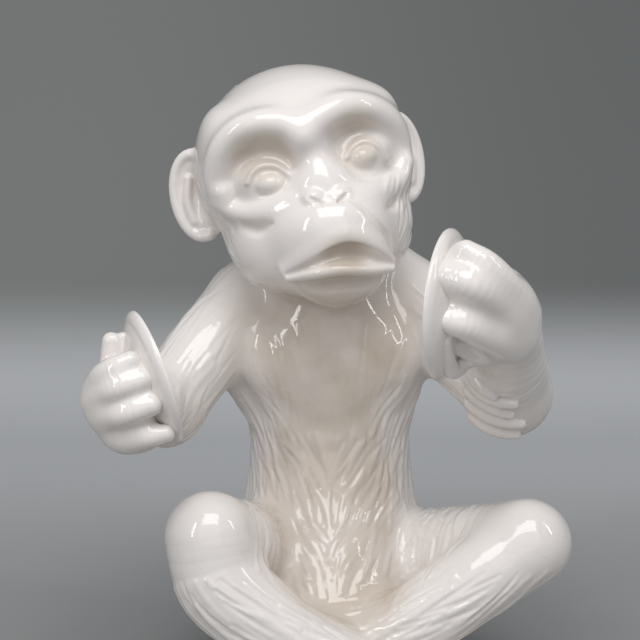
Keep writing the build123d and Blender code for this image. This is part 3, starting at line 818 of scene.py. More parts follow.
# Locks laid flat over the left elbow, each from its root to its tip with its half width
ELBOW_LOCKS = (
    ((56, -44, 140, 4.6), (65, -49, 138.5, 4.4), (73.3, -52, 135, 2.0)),
    ((57, -42, 134, 5.0), (68, -48, 132, 4.6), (78.3, -50, 130.7, 2.0)),
    ((60, -40, 128, 4.8), (71, -46, 125.5, 4.4), (78, -46, 123, 2.0)),
    ((60, -37, 122, 5.0), (72, -41, 119.5, 4.8), (82.8, -42, 117, 2.2)),
    ((62, -33, 116, 4.8), (72, -36, 113, 4.4), (82, -38, 110.3, 2.0)),
)
LOCK_LIFT = 3.0
LOCK_BLEND = 0.4
FUR_SEED = 7
FUR_TRIES = 26000
FUR_STEPS = 6
# How near the skin a try has to fall, and how much strokes vary in length, depth and heading
SEED_REACH = 1.5
LENGTH_SPAN = (0.6, 1.25)
DEPTH_SPAN = (0.45, 1.3)
HEADING_SWAY = 0.1
# One stroke in so many stands up and the rest are scraped; the radius as a share of the width, and blend
RAISED_EVERY = 3
RAISED_SHARE, RAISED_BLEND = 0.55, 0.9
SCRAPED_SHARE, SCRAPED_BLEND = 0.42, 0.5
# The ears are bare, and fur stops this far from them
EARS = ("ear_right", "ear_left")
EAR_MARGIN = 3.0


def around(names):
    """Some castings and all that they are luted to."""
    beside = {other for name in names for other in CASTINGS[name][1]}
    return (*names, *sorted(beside - set(names)))


def comb(points, marks):
    """The way the fur lies at each point: the marks' directions, the nearest counting most."""
    total = np.zeros_like(points)
    for place, heading in marks:
        near = 1.0 / (np.linalg.norm(points - np.array(place, float), axis=1) ** 3 + 1.0)
        total += near[:, None] * np.array(heading, float)
    return unit(total, FAINT)


def seeds_on(names, low, high, spacing, dice):
    """Points spread over the named castings' open skin inside a box, no two nearer than the spacing."""
    tries = dice.uniform(low, high, (FUR_TRIES, 3))
    tries = tries[np.abs(skin_at(tries, names)) < SEED_REACH]
    if len(tries):
        tries = tries[np.abs(skin_at(tries, around(names))) < SEED_REACH]
    kept = np.zeros((0, 3))
    for point in tries:
        if not len(kept) or np.min(((kept - point) ** 2).sum(1)) > spacing**2:
            kept = np.vstack([kept, point])
    return kept


def lifted(points, lifts, names):
    """Points moved along the skin's slope until they lie so far outside it."""
    for _ in range(3):
        miss = lifts - skin_at(points, names)
        points = points + skin_slope(points, names) * miss[:, None]
    return points


def comb_fur(depth_share, spacing_share):
    """Every stroke of the fur, as clay laid on or scraped off along short curves."""
    dice = np.random.default_rng(FUR_SEED)
    strokes = []
    for own, low, high, spacing, length, width, depth, marks in FUR:
        points = seeds_on(own, low, high, spacing * spacing_share, dice)
        if not len(points):
            continue
        names = around(own)
        lengths = length * dice.uniform(*LENGTH_SPAN, len(points))
        depths = depth * depth_share * dice.uniform(*DEPTH_SPAN, len(points))
        sway = dice.normal(0, HEADING_SWAY, points.shape)
        path, normals = [], []
        for _ in range(FUR_STEPS):
            normal = skin_slope(points, names)
            points = points - normal * skin_at(points, names)[:, None]
            way = comb(points, marks) + sway
            way = unit(way - normal * (way * normal).sum(1, keepdims=True))
            path.append(points)
            normals.append(normal)
            points = points + way * (lengths / (FUR_STEPS - 1))[:, None]
        raised = np.arange(len(lengths)) % RAISED_EVERY == 0
        radii = np.where(raised, width * RAISED_SHARE, width * SCRAPED_SHARE)
        courses = []
        for step in range(FUR_STEPS):
            swell = math.sin(math.pi * (step + 0.5) / FUR_STEPS) ** 0.8
            lifts = np.where(raised, depths * swell - radii, radii - depths * swell)
            courses.append(lifted(path[step] + normals[step] * lifts[:, None], lifts, names))
        off_ears = np.min([skin_at(points, EARS) for points in path], axis=0) > EAR_MARGIN
        for index in np.flatnonzero(off_ears):
            knots = [(*course[index], radii[index]) for course in courses]
            sign, blend = (1, RAISED_BLEND) if raised[index] else (-1, SCRAPED_BLEND)
            strokes.append((sign, Limb(knots, bends=1), blend))
    for lock in ELBOW_LOCKS:
        knots = rounded(np.array(lock, float), 3)
        places = lifted(knots[:, :3], LOCK_LIFT * depth_share - knots[:, 3], ("arm_left",))
        strokes.append((1, Limb(np.column_stack([places, knots[:, 3]]), bends=1), LOCK_BLEND))
    return strokes


FUR_CACHE = {}


def fur_strokes():
    """The combed fur, traced once for each setting of its depth and spacing."""
    form = bpy.context.scene.monkey_form
    key = (round(form.fur_depth, 3), round(form.fur_spacing, 3))
    if key not in FUR_CACHE:
        FUR_CACHE[key] = comb_fur(*key)
    return FUR_CACHE[key]


# Room round a casting in its grid, and round a stroke of fur
GRID_PAD = 3.0
FUR_PAD = 1.5
# At a seam: how fast the clay sinks under its neighbour, and how far its edge laps over the middle
SEAM_SINK = 0.6
SEAM_LAP = 0.35
# How softly the figure meets the ground
GROUND_BLEND = 1.6
# Rounds in which the mesh is drawn onto the skin, the least square of the slope there, and the longest
# move as a share of the grid's step
DRAWS = 2
LEAST_SQUARE = 0.25
DRAW_SHARE = 0.5
# Below this depth under the skin, and below this height, the normals are the piece's own
INNER_DEPTH = 0.45
FOOT_HEIGHT = 1.2
# Hollows are felt at two reaches, each with its share; their depth is told in shares of the reach
HOLLOWS = ((1.6, 0.45), (5.0, 0.55))
HOLLOW_GAIN = 2.2
HOLLOW_CLIP = 1.5


def grid_box(strokes):
    """The room that a casting's own clay needs, from a little under the ground."""
    boxes = [shape.box(GRID_PAD) for sign, shape, blend in strokes if sign > 0]
    low = np.min([box[0] for box in boxes], axis=0)
    high = np.max([box[1] for box in boxes], axis=0)
    low[2] = max(low[2], -GRID_PAD)
    return low, high


def cast_piece(name, step, finish):
    """The piece's mesh: its share of the whole figure's skin, cut where it meets its neighbours."""
    own_strokes, seams = CASTINGS[name]
    step *= 1.0
    clay = Clay(*grid_box(own_strokes), step)
    fields = {name: clay.fill(own_strokes)}
    for other in seams:
        fields[other] = clay.fill(CASTINGS[other][0])
    skin = luted(fields)
    for sign, shape, blend in fur_strokes():
        spans, x, y, z = clay.window(*shape.box(FUR_PAD))
        if min(s.stop - s.start for s in spans) > 0:
            skin[spans] = sign * soft_min(sign * skin[spans], shape.distance(x, y, z), blend)
    others = np.minimum.reduce([fields[other] for other in seams])
    beyond = (fields[name] - others) * 0.5
    body = np.maximum(skin + np.maximum(beyond, 0.0) * SEAM_SINK, beyond - SEAM_LAP)
    if name == "torso":
        spans, x, y, z = clay.window(*SEAT_VENT.box(VENT_PAD))
        body[spans] = np.maximum(body[spans], -SEAT_VENT.distance(x, y, z))
    ground = clay.axes[2][None, None, :]
    body = -soft_min(-body, ground + np.zeros_like(body), GROUND_BLEND)
    places, quads = cast(body, clay.low, step)
    for _ in range(DRAWS):
        slope = clay.slope(body, places)
        square = np.maximum((slope**2).sum(1), LEAST_SQUARE)
        move = slope * (clay.sample(body, places) / square)[:, None]
        places = places - np.clip(move, -step * DRAW_SHARE, step * DRAW_SHARE)
    normals = clay.slope(skin, places)
    inner = (clay.sample(skin, places) < -INNER_DEPTH) | (places[:, 2] < FOOT_HEIGHT)
    normals[inner] = clay.slope(body, places)[inner]
    # How deep each point lies in a hollow; the glaze darkens there as pooled glaze and as painted shade
    hollow = np.zeros(len(places))
    for reach, share in HOLLOWS:
        cells = max(1, int(round(reach / step)))
        softened = spread(np.clip(skin, -reach * HOLLOW_CLIP, reach * HOLLOW_CLIP), cells)
        hollow += share * np.clip(-clay.sample(softened, places) / reach * HOLLOW_GAIN, -1.0, 1.0)
    places[:, 2] = np.maximum(places[:, 2], 0.0)
    return make_piece(name, places, quads, unit(normals), hollow, finish)


def make_piece(name, places, quads, normals, hollow, finish):
    """A mesh object at the origin from points in millimetres."""
    mesh = bpy.data.meshes.new("glazed_" + name)
    mesh.from_pydata((places * MM).tolist(), [], quads.tolist())
    mesh.update()
    mesh.polygons.foreach_set("use_smooth", np.ones(len(mesh.polygons), bool))
    mesh.normals_split_custom_set_from_vertices(normals.tolist())
    mark = mesh.attributes.new("hollow", "FLOAT", "POINT")
    mark.data.foreach_set("value", hollow.astype(np.float32))
    mesh.materials.append(finish)
    piece = bpy.data.objects.new("glazed_" + name, mesh)
    bpy.context.scene.collection.objects.link(piece)
    return piece


def settle(piece, node):
    """Puts a finished piece in the frame in place of its solid."""
    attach(piece, "root")
    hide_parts(node)


# Finishes


class Wire:
    """A shader value that can be added, multiplied and mixed as a number can."""

    def __init__(self, tree, socket):
        self.tree = tree
        self.socket = socket

    def maths(self, operation, other, backwards=False, clamp=False):
        node = self.tree.nodes.new("ShaderNodeMath")
        node.operation = operation
        node.use_clamp = clamp
        sides = (other, self) if backwards else (self, other)
        for slot_socket, value in zip(node.inputs, sides):
            if isinstance(value, Wire):
                self.tree.links.new(value.socket, slot_socket)
            elif value is not None:
                slot_socket.default_value = value
        return Wire(self.tree, node.outputs[0])

    def __add__(self, other):
        return self.maths("ADD", other)

    def __radd__(self, other):
        return self.maths("ADD", other)

    def __sub__(self, other):
        return self.maths("SUBTRACT", other)

    def __rsub__(self, other):
        return self.maths("SUBTRACT", other, backwards=True)

    def __mul__(self, other):
        return self.maths("MULTIPLY", other)

    def __rmul__(self, other):
        return self.maths("MULTIPLY", other)

    def __truediv__(self, other):
        return self.maths("DIVIDE", other)

    def __pow__(self, other):
        return self.maths("POWER", other)

    def clamped(self):
        return self.maths("MULTIPLY", 1.0, clamp=True)

    def ramp(self, low, high):
        """0 where the value is low, 1 where it is high, smooth between."""
        node = self.tree.nodes.new("ShaderNodeMapRange")
        node.interpolation_type = "SMOOTHSTEP"
        self.tree.links.new(self.socket, node.inputs["Value"])
        node.inputs["From Min"].default_value = low
        node.inputs["From Max"].default_value = high
        return Wire(self.tree, node.outputs["Result"])


def feed(tree, value, socket):
    """Joins a shader value to a socket, or sets the socket to a plain value."""
    if isinstance(value, Wire):
        tree.links.new(value.socket, socket)
    else:
        socket.default_value = value


def add_node(tree, kind, settings, output, inputs):
    """A node with its settings made and its inputs set or joined; inputs are named with _ for a space."""
    made = tree.nodes.new(kind)
    for key, value in dict(settings).items():
        setattr(made, key, value)
    for key, value in inputs.items():
        feed(tree, value, made.inputs[key.replace("_", " ")])
    return Wire(tree, made.outputs[output])


class Finish:
    """A material under construction."""

    def __init__(self, name):
        self.material = bpy.data.materials.new(name)
        self.material.use_nodes = True
        self.tree = self.material.node_tree
        self.shader = next(n for n in self.tree.nodes if n.type == "BSDF_PRINCIPLED")

    def node(self, kind, settings=(), output=0, **inputs):
        return add_node(self.tree, kind, settings, output, inputs)

    def mixed(self, share, first, second):
        """A colour between two colours."""
        made = self.tree.nodes.new("ShaderNodeMix")
        made.data_type = "RGBA"
        for place, value in ((0, share), (6, first), (7, second)):
            feed(self.tree, value, made.inputs[place])
        return Wire(self.tree, made.outputs[2])

    def drive(self, socket_name, wire):
        self.tree.links.new(wire.socket, self.shader.inputs[socket_name])


FINISHES = {}
# Painted shade: spots where the glaze is darkened and warmed to stand for shade, on the chest under the
# head, the belly, lap, sockets, mouth and chin, each a place and how far it spreads
SHADE_SPOTS = (
    ((-15, -36, 154), 40), ((17, -36, 156), 40), ((0, -40, 122), 38),
    ((-14, -40, 92), 36), ((14, -40, 88), 36), ((0, -50, 64), 42), ((-10, -62, 44), 32), ((14, -62, 44), 32),
    ((-29, -59, 231), 19), ((13, -61, 239), 17), ((6, -72, 190), 14), ((0, -62, 177), 20),
)
# The share of a shade spot's reach that is painted in full, and what clouding makes of it
SHADE_SPOT_CORE = 0.25
SHADE_SPOT_LEAST, SHADE_SPOT_CLOUDING = 0.15, 1.5
# Scales of the noise: clouding, specks, ripples, patches of crazing and the sway of its cracks
CLOUD_SCALE, SPECK_SCALE, RIPPLE_SCALE, PATCH_SCALE, SWAY_SCALE = 38.0, 240.0, 90.0, 16.0, 60.0
# The depth of hollow where the pooled glaze and its painted shade start and where they are full, how much,
# and their clouding
POOL_AND_SHADE_DEPTHS = (0.05, 0.75)
POOL_AND_SHADE_SHARE, POOL_AND_SHADE_CLOUDING = 0.9, 0.35
# The size and width of the cracks, how far they sway in metres, and where their patches begin and are full
CRACK_SCALE, CRACK_WIDTH, CRACK_SWAY = 95.0, 0.035, 0.006
CRACK_PATCHES = (0.48, 0.62)
# The heights in metres between which bare clay turns into glaze, and how much rougher clay and specks are
BARE_EDGE = (0.0006, 0.0014)
BARE_ROUGHER, SPECK_ROUGHER = 0.6, 0.02
GLAZE_IOR = 1.52
RIPPLE_STRENGTH, RIPPLE_DEPTH = 0.10, 0.001
PAPER_ROUGHNESS, PAPER_SHINE = 0.85, 0.15


def glaze():
    """White tin glaze over pale earthenware: it pools in the hollows, which also get painted shade, has
    painted shade on the chest, belly, lap and face, and is bare under the seat.
    """
    if "glaze" in FINISHES:
        return FINISHES["glaze"]
    look = bpy.context.scene.monkey_glaze
    finish = Finish("white_glaze")
    place = finish.node("ShaderNodeTexCoord", output="Object")
    hollow = finish.node("ShaderNodeAttribute", {"attribute_name": "hollow"}, output="Fac")
    cloud = finish.node("ShaderNodeTexNoise", Vector=place, Scale=CLOUD_SCALE, Detail=3.0, Roughness=0.55)
    speck = finish.node("ShaderNodeTexNoise", Vector=place, Scale=SPECK_SCALE, Detail=2.0)
    # Pooled glaze and painted shade: the hollows are darkened and warmed
    pooled_and_shaded = (hollow.ramp(*POOL_AND_SHADE_DEPTHS) * POOL_AND_SHADE_SHARE + (cloud - 0.5) * POOL_AND_SHADE_CLOUDING).clamped()
    colour = finish.mixed(pooled_and_shaded, (*look.glaze_colour, 1.0), (*look.pooled_and_shade_colour, 1.0))
    # Painted shade: the glaze is darkened and warmed round each shade spot
    painted_shade = 0.0
    for spot, reach in SHADE_SPOTS:
        far = finish.node("ShaderNodeVectorMath", {"operation": "DISTANCE"}, output="Value", Vector=place)
        far.socket.node.inputs[1].default_value = [c * MM for c in spot]
        painted_shade = (1.0 - far.ramp(reach * MM * SHADE_SPOT_CORE, reach * MM)) + painted_shade
    painted_shade_share = painted_shade.clamped() * (SHADE_SPOT_LEAST + cloud * SHADE_SPOT_CLOUDING) * look.painted_shading
    colour = finish.mixed(painted_shade_share.clamped(), colour, (*look.painted_shade_colour, 1.0))
    bent = finish.node("ShaderNodeTexNoise", output="Color", Vector=place, Scale=SWAY_SCALE, Detail=1.0)
    swayed = finish.node("ShaderNodeVectorMath", {"operation": "MULTIPLY_ADD"})
    node = swayed.socket.node
    finish.tree.links.new(bent.socket, node.inputs[0])
    node.inputs[1].default_value = (CRACK_SWAY,) * 3
    finish.tree.links.new(place.socket, node.inputs[2])
    edges = {"feature": "DISTANCE_TO_EDGE"}
    crack = finish.node("ShaderNodeTexVoronoi", edges, Vector=swayed, Scale=CRACK_SCALE)
    crazed = (1.0 - crack.ramp(0.0, CRACK_WIDTH)) * look.crazing
    patchy = finish.node("ShaderNodeTexNoise", Vector=place, Scale=PATCH_SCALE).ramp(*CRACK_PATCHES)
    colour = finish.mixed(crazed * patchy, colour, (*look.crack_colour, 1.0))
    height = finish.node("ShaderNodeSeparateXYZ", output="Z", Vector=place)
    bare = 1.0 - height.ramp(*BARE_EDGE)
    colour = finish.mixed(bare, colour, (*look.biscuit_colour, 1.0))
    finish.drive("Base Color", colour)
    finish.drive("Roughness", look.gloss_roughness + bare * BARE_ROUGHER + speck * SPECK_ROUGHER)
    finish.shader.inputs["IOR"].default_value = GLAZE_IOR
    bump = finish.tree.nodes.new("ShaderNodeBump")
    bump.inputs["Strength"].default_value = RIPPLE_STRENGTH
    bump.inputs["Distance"].default_value = RIPPLE_DEPTH
    ripple = finish.node("ShaderNodeTexNoise", Vector=place, Scale=RIPPLE_SCALE, Detail=2.0)
    finish.tree.links.new(ripple.socket, bump.inputs["Height"])
    finish.drive("Normal", Wire(finish.tree, bump.outputs["Normal"]))
    FINISHES["glaze"] = finish.material
    return finish.material


def backdrop_finish():
    """Pale grey paper with painted light and shade: dark on the floor in front, lighter towards the bend,
    and darker up the wall, the left side lighter than the right.
    """
    look = bpy.context.scene.monkey_stage
    finish = Finish("studio_paper_painted_light")
    place = finish.node("ShaderNodeTexCoord", output="Object")
    aside, back, height = (finish.node("ShaderNodeSeparateXYZ", output=axis, Vector=place) for axis in "XYZ")
    floor = finish.mixed(back.ramp(0.0, FLOOR_FADE), (*look.near_floor_shade, 1.0), (*look.far_floor_light, 1.0))
    wall = finish.mixed(aside.ramp(-WALL_FADE, WALL_FADE), (*look.left_wall_shade, 1.0), (*look.right_wall_shade, 1.0))
    colour = finish.mixed(height.ramp(*BEND_FADE), floor, wall)
    finish.drive("Base Color", colour)
    finish.shader.inputs["Roughness"].default_value = PAPER_ROUGHNESS
    finish.shader.inputs["Specular IOR Level"].default_value = PAPER_SHINE
    return finish.material


# Geometry nodes


class Plan:
    """A geometry node tree with named inputs, run once on a bare mesh and turned into a plain one."""

    def __init__(self, name):
        self.tree = bpy.data.node_groups.new(name, "GeometryNodeTree")
        self.tree.interface.new_socket("Geometry", in_out="OUTPUT", socket_type="NodeSocketGeometry")
        self.values = {}
        self.entry = None
        self.names = []

    def input(self, name, kind, value):
        made = self.tree.interface.new_socket(name, in_out="INPUT", socket_type=kind)
        self.values[made.identifier] = value
        self.names.append(name)

    def open(self):
        self.entry = self.tree.nodes.new("NodeGroupInput")

    def wire(self, name):
        return Wire(self.tree, self.entry.outputs[name])

    def node(self, kind, settings=(), output=0, **inputs):
        return add_node(self.tree, kind, settings, output, inputs)

    def close(self, last):
        leave = self.tree.nodes.new("NodeGroupOutput")
        self.tree.links.new(last.socket, leave.inputs[0])

    def made(self, name):
        """The plan's result as an object of its own."""
        host = bpy.data.objects.new(name + "_plan", bpy.data.meshes.new(name + "_plan"))
        bpy.context.scene.collection.objects.link(host)
        modifier = host.modifiers.new("plan", "NODES")
        modifier.node_group = self.tree
        for identifier, value in self.values.items():
            modifier[identifier] = value
        bpy.context.view_layer.update()
        settled = host.evaluated_get(bpy.context.evaluated_depsgraph_get())
        mesh = bpy.data.meshes.new_from_object(settled)
        mesh.name = name
        piece = bpy.data.objects.new(name, mesh)
        bpy.context.scene.collection.objects.link(piece)
        bpy.data.objects.remove(host)
        if not len(mesh.polygons):
            raise RuntimeError(name + " came out empty")
        return piece


# The ball that a cymbal is dished from, how square its edge is, and where its rim's bead lies and how
# sharply that ends
BALL_SEGMENTS, BALL_RINGS = 144, 96
EDGE_POWER = 0.45
BEAD_PLACE, BEAD_SHARPNESS = 0.95, 14.0
SWEEP_ROWS = 160


def cymbal_plan(side, finish):
    """A round plate dished from a ball's skin, with a thickened rim, set at its place."""
    sizes = bpy.context.scene.monkey_cymbals
    apex, face = PLATES[side]
    plan = Plan("dished_cymbal")
    plan.input("Radius", "NodeSocketFloat", getattr(sizes, side + "_radius"))
    plan.input("Dish", "NodeSocketFloat", sizes.dish)
    plan.input("Thickness", "NodeSocketFloat", sizes.thickness)
    plan.input("Rim", "NodeSocketFloat", sizes.rim)
    plan.input("Apex", "NodeSocketVector", tuple(c * MM for c in apex))
    plan.input("Facing", "NodeSocketVector", tuple(face))
    plan.input("Glaze", "NodeSocketMaterial", finish)
    plan.open()
    ball = plan.node(
        "GeometryNodeMeshUVSphere", Segments=BALL_SEGMENTS, Rings=BALL_RINGS, Radius=1.0
    )
    spot = plan.node("GeometryNodeInputPosition")
    split = plan.node("ShaderNodeSeparateXYZ", Vector=spot)
    parts = split.socket.node.outputs
    x, y, z = (Wire(plan.tree, parts[i]) for i in range(3))
    reach = (x * x + y * y).maths("SQRT", None)
    upper = z.maths("SIGN", None)
    body = z.maths("ABSOLUTE", None) ** EDGE_POWER
    bead = (1.0 - ((reach - BEAD_PLACE) * BEAD_SHARPNESS) ** 2.0).maths("MAXIMUM", 0.0)
    rim_bead = 1.0 + plan.wire("Rim") * bead
    half = plan.wire("Thickness") * 0.5
    middle = half + plan.wire("Dish") * reach * reach
    level = middle + upper * body * half * rim_bead
    moved = plan.node(
        "ShaderNodeCombineXYZ",
        X=x * plan.wire("Radius"),
        Y=y * plan.wire("Radius"),
        Z=level,
    )
    dished = plan.node("GeometryNodeSetPosition", Geometry=ball, Position=moved)
    lone = plan.node("GeometryNodePoints", Count=1, Position=plan.wire("Apex"))
    facing = plan.node("FunctionNodeAlignRotationToVector", {"axis": "Z"}, Vector=plan.wire("Facing"))
    stood = plan.node("GeometryNodeInstanceOnPoints", Points=lone, Instance=dished, Rotation=facing)
    real = plan.node("GeometryNodeRealizeInstances", Geometry=stood)
    smooth = plan.node("GeometryNodeSetShadeSmooth", Geometry=real)
    plan.close(plan.node("GeometryNodeSetMaterial", Geometry=smooth, Material=plan.wire("Glaze")))
    return plan.made("glazed_cymbal_" + side)


def studio_plan(finish):
    """The paper sweep: a profile from floor to wall, drawn out sideways."""
    plan = Plan("paper_sweep")
    plan.input("Width", "NodeSocketFloat", STAGE_WIDTH)
    plan.input("Depth", "NodeSocketFloat", STAGE_DEPTH)
    plan.input("Height", "NodeSocketFloat", STAGE_HEIGHT)
    plan.input("Bend", "NodeSocketFloat", STAGE_BEND)
    plan.input("Paper", "NodeSocketMaterial", finish)
    plan.open()
    sheet = plan.node(
        "GeometryNodeMeshGrid", Size_X=1.0, Size_Y=1.0, Vertices_X=2, Vertices_Y=SWEEP_ROWS
    )
    spot = plan.node("GeometryNodeInputPosition")
    split = plan.node("ShaderNodeSeparateXYZ", Vector=spot)
    parts = split.socket.node.outputs
    x, y = (Wire(plan.tree, parts[i]) for i in range(2))
    run = (y + 0.5) * (plan.wire("Depth") + plan.wire("Height"))
    over = run - plan.wire("Depth")
    bend = plan.wire("Bend")
    climb = over.maths("MAXIMUM", 0.0)
    eased = bend * (1.0 - (climb / bend * -1.0).maths("EXPONENT", None))
    flat = run.maths("MINIMUM", plan.wire("Depth")) + eased
    rise = climb - eased
    moved = plan.node("ShaderNodeCombineXYZ", X=x * plan.wire("Width"), Y=flat + STAGE_FRONT, Z=rise)
    swept = plan.node("GeometryNodeSetPosition", Geometry=sheet, Position=moved)
    real = plan.node("GeometryNodeRealizeInstances", Geometry=swept)
    smooth = plan.node("GeometryNodeSetShadeSmooth", Geometry=real)
    plan.close(plan.node("GeometryNodeSetMaterial", Geometry=smooth, Material=plan.wire("Paper")))
    return plan.made("paper_sweep")


# The studio, in metres

STAGE_WIDTH = 6.0
STAGE_DEPTH = 2.1
STAGE_HEIGHT = 2.2
STAGE_BEND = 0.5
STAGE_FRONT = -1.5
# Each lamp: name, place, what it points at, width, height and power
LAMPS = (
    ("overhead_softbox", (0.02, -0.70, 1.06), (0.0, -0.02, 0.17), 0.8, 0.6, 6.8),
    ("front_fill", (0.05, -1.5, 0.70), (0.0, 0.0, 0.15), 1.6, 1.2, 4.0),
    ("window_strip", (-0.66, -0.75, 0.50), (-0.04, -0.05, 0.14), 0.1, 0.6, 1.6),
    ("side_strip", (0.75, -0.35, 0.65), (0.02, -0.02, 0.15), 0.05, 0.5, 0.8),
)
WORLD_COLOUR = (0.93, 0.96, 1.0, 1.0)
WORLD_STRENGTH = 0.35
# Where the paper's painted light and shade change: over the floor's depth, across the wall and up the bend
FLOOR_FADE = 0.62
WALL_FADE = 0.35
BEND_FADE = (0.02, 0.125)
CAMERA_PLACE = (-0.0046, -0.6973, 0.218)
CAMERA_TARGET = (-0.0046, 0.0, 0.157)
CAMERA_LENS = 85.05
CAMERA_SENSOR = 36.0
CAMERA_NEAR = 0.01


def aim(thing, place, target):
    thing.location = place
    way = Vector(target) - Vector(place)
    thing.rotation_euler = way.to_track_quat("-Z", "Y").to_euler()


# Settings that a user would change


class MonkeyForm(bpy.types.PropertyGroup):
    """How finely the figure is cast and how its fur is worked"""

    body_step: FloatProperty(
        name="Body grid", description="Grid of the body in millimetres", default=0.8, min=0.4
    )
    leg_step: FloatProperty(
        name="Leg grid", description="Grid of the legs in millimetres", default=0.66, min=0.4
    )
    head_step: FloatProperty(
        name="Head grid", description="Grid of the head in millimetres", default=0.7, min=0.4
    )
    hand_step: FloatProperty(
        name="Hand grid", description="Grid of the hands in millimetres", default=0.55, min=0.3
    )
    fur_depth: FloatProperty(
        name="Fur depth", description="Depth of every stroke, as a share", default=1.0, min=0.0
    )
    fur_spacing: FloatProperty(
        name="Fur spacing", description="Room between strokes, as a share", default=1.0, min=0.5
    )


class MonkeyCymbals(bpy.types.PropertyGroup):
    """Sizes of the two cymbals"""

    right_radius: FloatProperty(
        name="Right radius", description="From the middle to the rim",
        default=PLATE_RADIUS["right"] * MM, unit="LENGTH",
    )
    left_radius: FloatProperty(
        name="Left radius", description="From the middle to the rim",
        default=PLATE_RADIUS["left"] * MM, unit="LENGTH",
    )
    dish: FloatProperty(
        name="Dish", description="Depth of the hollow", default=PLATE_DISH * MM, unit="LENGTH"
    )
    thickness: FloatProperty(
        name="Thickness", description="Of the plate", default=PLATE_THICKNESS * MM, unit="LENGTH"
    )
    rim: FloatProperty(
        name="Rim", description="How much thicker the rim is, as a share", default=0.4, min=0.0
    )


class MonkeyGlaze(bpy.types.PropertyGroup):
    """Colours and gloss of the glaze"""

    glaze_colour: FloatVectorProperty(
        name="Glaze", description="Where the glaze is thin",
        subtype="COLOR", default=(0.81, 0.762, 0.73),
    )
    # Pooled glaze with painted shade: the darker colour in the hollows
    pooled_and_shade_colour: FloatVectorProperty(
        name="Pooled glaze", description="Where it fills the hollows",
        subtype="COLOR", default=(0.60, 0.53, 0.465),
    )
    crack_colour: FloatVectorProperty(
        name="Crazing", description="Fine cracks in the glaze",
        subtype="COLOR", default=(0.46, 0.38, 0.30),
    )
    biscuit_colour: FloatVectorProperty(
        name="Bare clay", description="Unglazed underside", subtype="COLOR", default=(0.70, 0.60, 0.48)
    )
    gloss_roughness: FloatProperty(
        name="Roughness", description="Of the glossy glaze",
        default=0.06, min=0.0, max=1.0, subtype="FACTOR",
    )
    # Painted shade: the darker, warmer colour laid on the chest, belly, lap, sockets, mouth and chin
    painted_shade_colour: FloatVectorProperty(
        name="Stain", description="Yellowed glaze of chest and belly",
        subtype="COLOR", default=(0.56, 0.48, 0.40),
    )
    # How strong the painted shade is
    painted_shading: FloatProperty(
        name="Staining", description="How strong the yellowing is",
        default=0.8, min=0.0, max=1.0, subtype="FACTOR",
    )
    crazing: FloatProperty(
        name="Crazing strength", description="How dark the fine cracks are",
        default=0.09, subtype="FACTOR",
    )


class MonkeyStage(bpy.types.PropertyGroup):
    """Painted light and shade of the paper sweep"""

    # Painted light and shade on the paper: dark near the front, light near the bend, darker up the walls
    near_floor_shade: FloatVectorProperty(
        name="Near floor", description="Paper under the figure",
        subtype="COLOR", default=(0.335, 0.34, 0.34),
    )
    far_floor_light: FloatVectorProperty(
        name="Far floor", description="Paper before the wall",
        subtype="COLOR", default=(0.69, 0.70, 0.715),
    )
    left_wall_shade: FloatVectorProperty(
        name="Left wall", description="Paper at the top left",
        subtype="COLOR", default=(0.288, 0.298, 0.285),
    )
    right_wall_shade: FloatVectorProperty(
        name="Right wall", description="Paper at the top right",
        subtype="COLOR", default=(0.213, 0.22, 0.216),
    )


GROUPS = {
    "monkey_form": MonkeyForm,
    "monkey_cymbals": MonkeyCymbals,
    "monkey_glaze": MonkeyGlaze,
    "monkey_stage": MonkeyStage,
}


# Operators, one for each piece or group of like pieces


class MONKEY_OT_torso(bpy.types.Operator):
    """Cast the trunk with its chest, belly, neck and seat"""

    bl_idname = "monkey.torso"
    bl_label = "Torso"

    def execute(self, context):
        settle(cast_piece("torso", context.scene.monkey_form.body_step, glaze()), "torso")
        return {"FINISHED"}


class MONKEY_OT_head(bpy.types.Operator):
    """Cast the head with its brows, eyes, nose and mouth"""

    bl_idname = "monkey.head"
    bl_label = "Head"

    def execute(self, context):
        settle(cast_piece("head", context.scene.monkey_form.head_step, glaze()), "head")
        return {"FINISHED"}


class PairOperator:
    """Casts a right and a left piece of one kind."""

    kind = ""
    step_name = "body_step"

    def execute(self, context):
        step = getattr(context.scene.monkey_form, self.step_name)
        for side in SIDES:
            name = self.kind + "_" + side
            settle(cast_piece(name, step, glaze()), name)
        return {"FINISHED"}


class MONKEY_OT_ears(PairOperator, bpy.types.Operator):
    """Cast both ears"""

    bl_idname = "monkey.ears"
    bl_label = "Ears"
    kind = "ear"
    step_name = "hand_step"


class MONKEY_OT_arms(PairOperator, bpy.types.Operator):
    """Cast both arms, from the shoulder to the wrist"""

    bl_idname = "monkey.arms"
    bl_label = "Arms"
    kind = "arm"


class MONKEY_OT_hands(PairOperator, bpy.types.Operator):
    """Cast both hands round the backs of the cymbals"""

    bl_idname = "monkey.hands"
    bl_label = "Hands"
    kind = "hand"
    step_name = "hand_step"


class MONKEY_OT_legs(PairOperator, bpy.types.Operator):
    """Cast both crossed legs"""

    bl_idname = "monkey.legs"
    bl_label = "Legs"
    kind = "leg"
    step_name = "leg_step"


class MONKEY_OT_feet(PairOperator, bpy.types.Operator):
    """Cast both feet with their toes"""

    bl_idname = "monkey.feet"
    bl_label = "Feet"
    kind = "foot"
    step_name = "head_step"


class MONKEY_OT_cymbals(bpy.types.Operator):
    """Turn out both dished cymbals"""

    bl_idname = "monkey.cymbals"
    bl_label = "Cymbals"

    def execute(self, context):
        for side in SIDES:
            settle(cymbal_plan(side, glaze()), "cymbal_" + side)
        return {"FINISHED"}


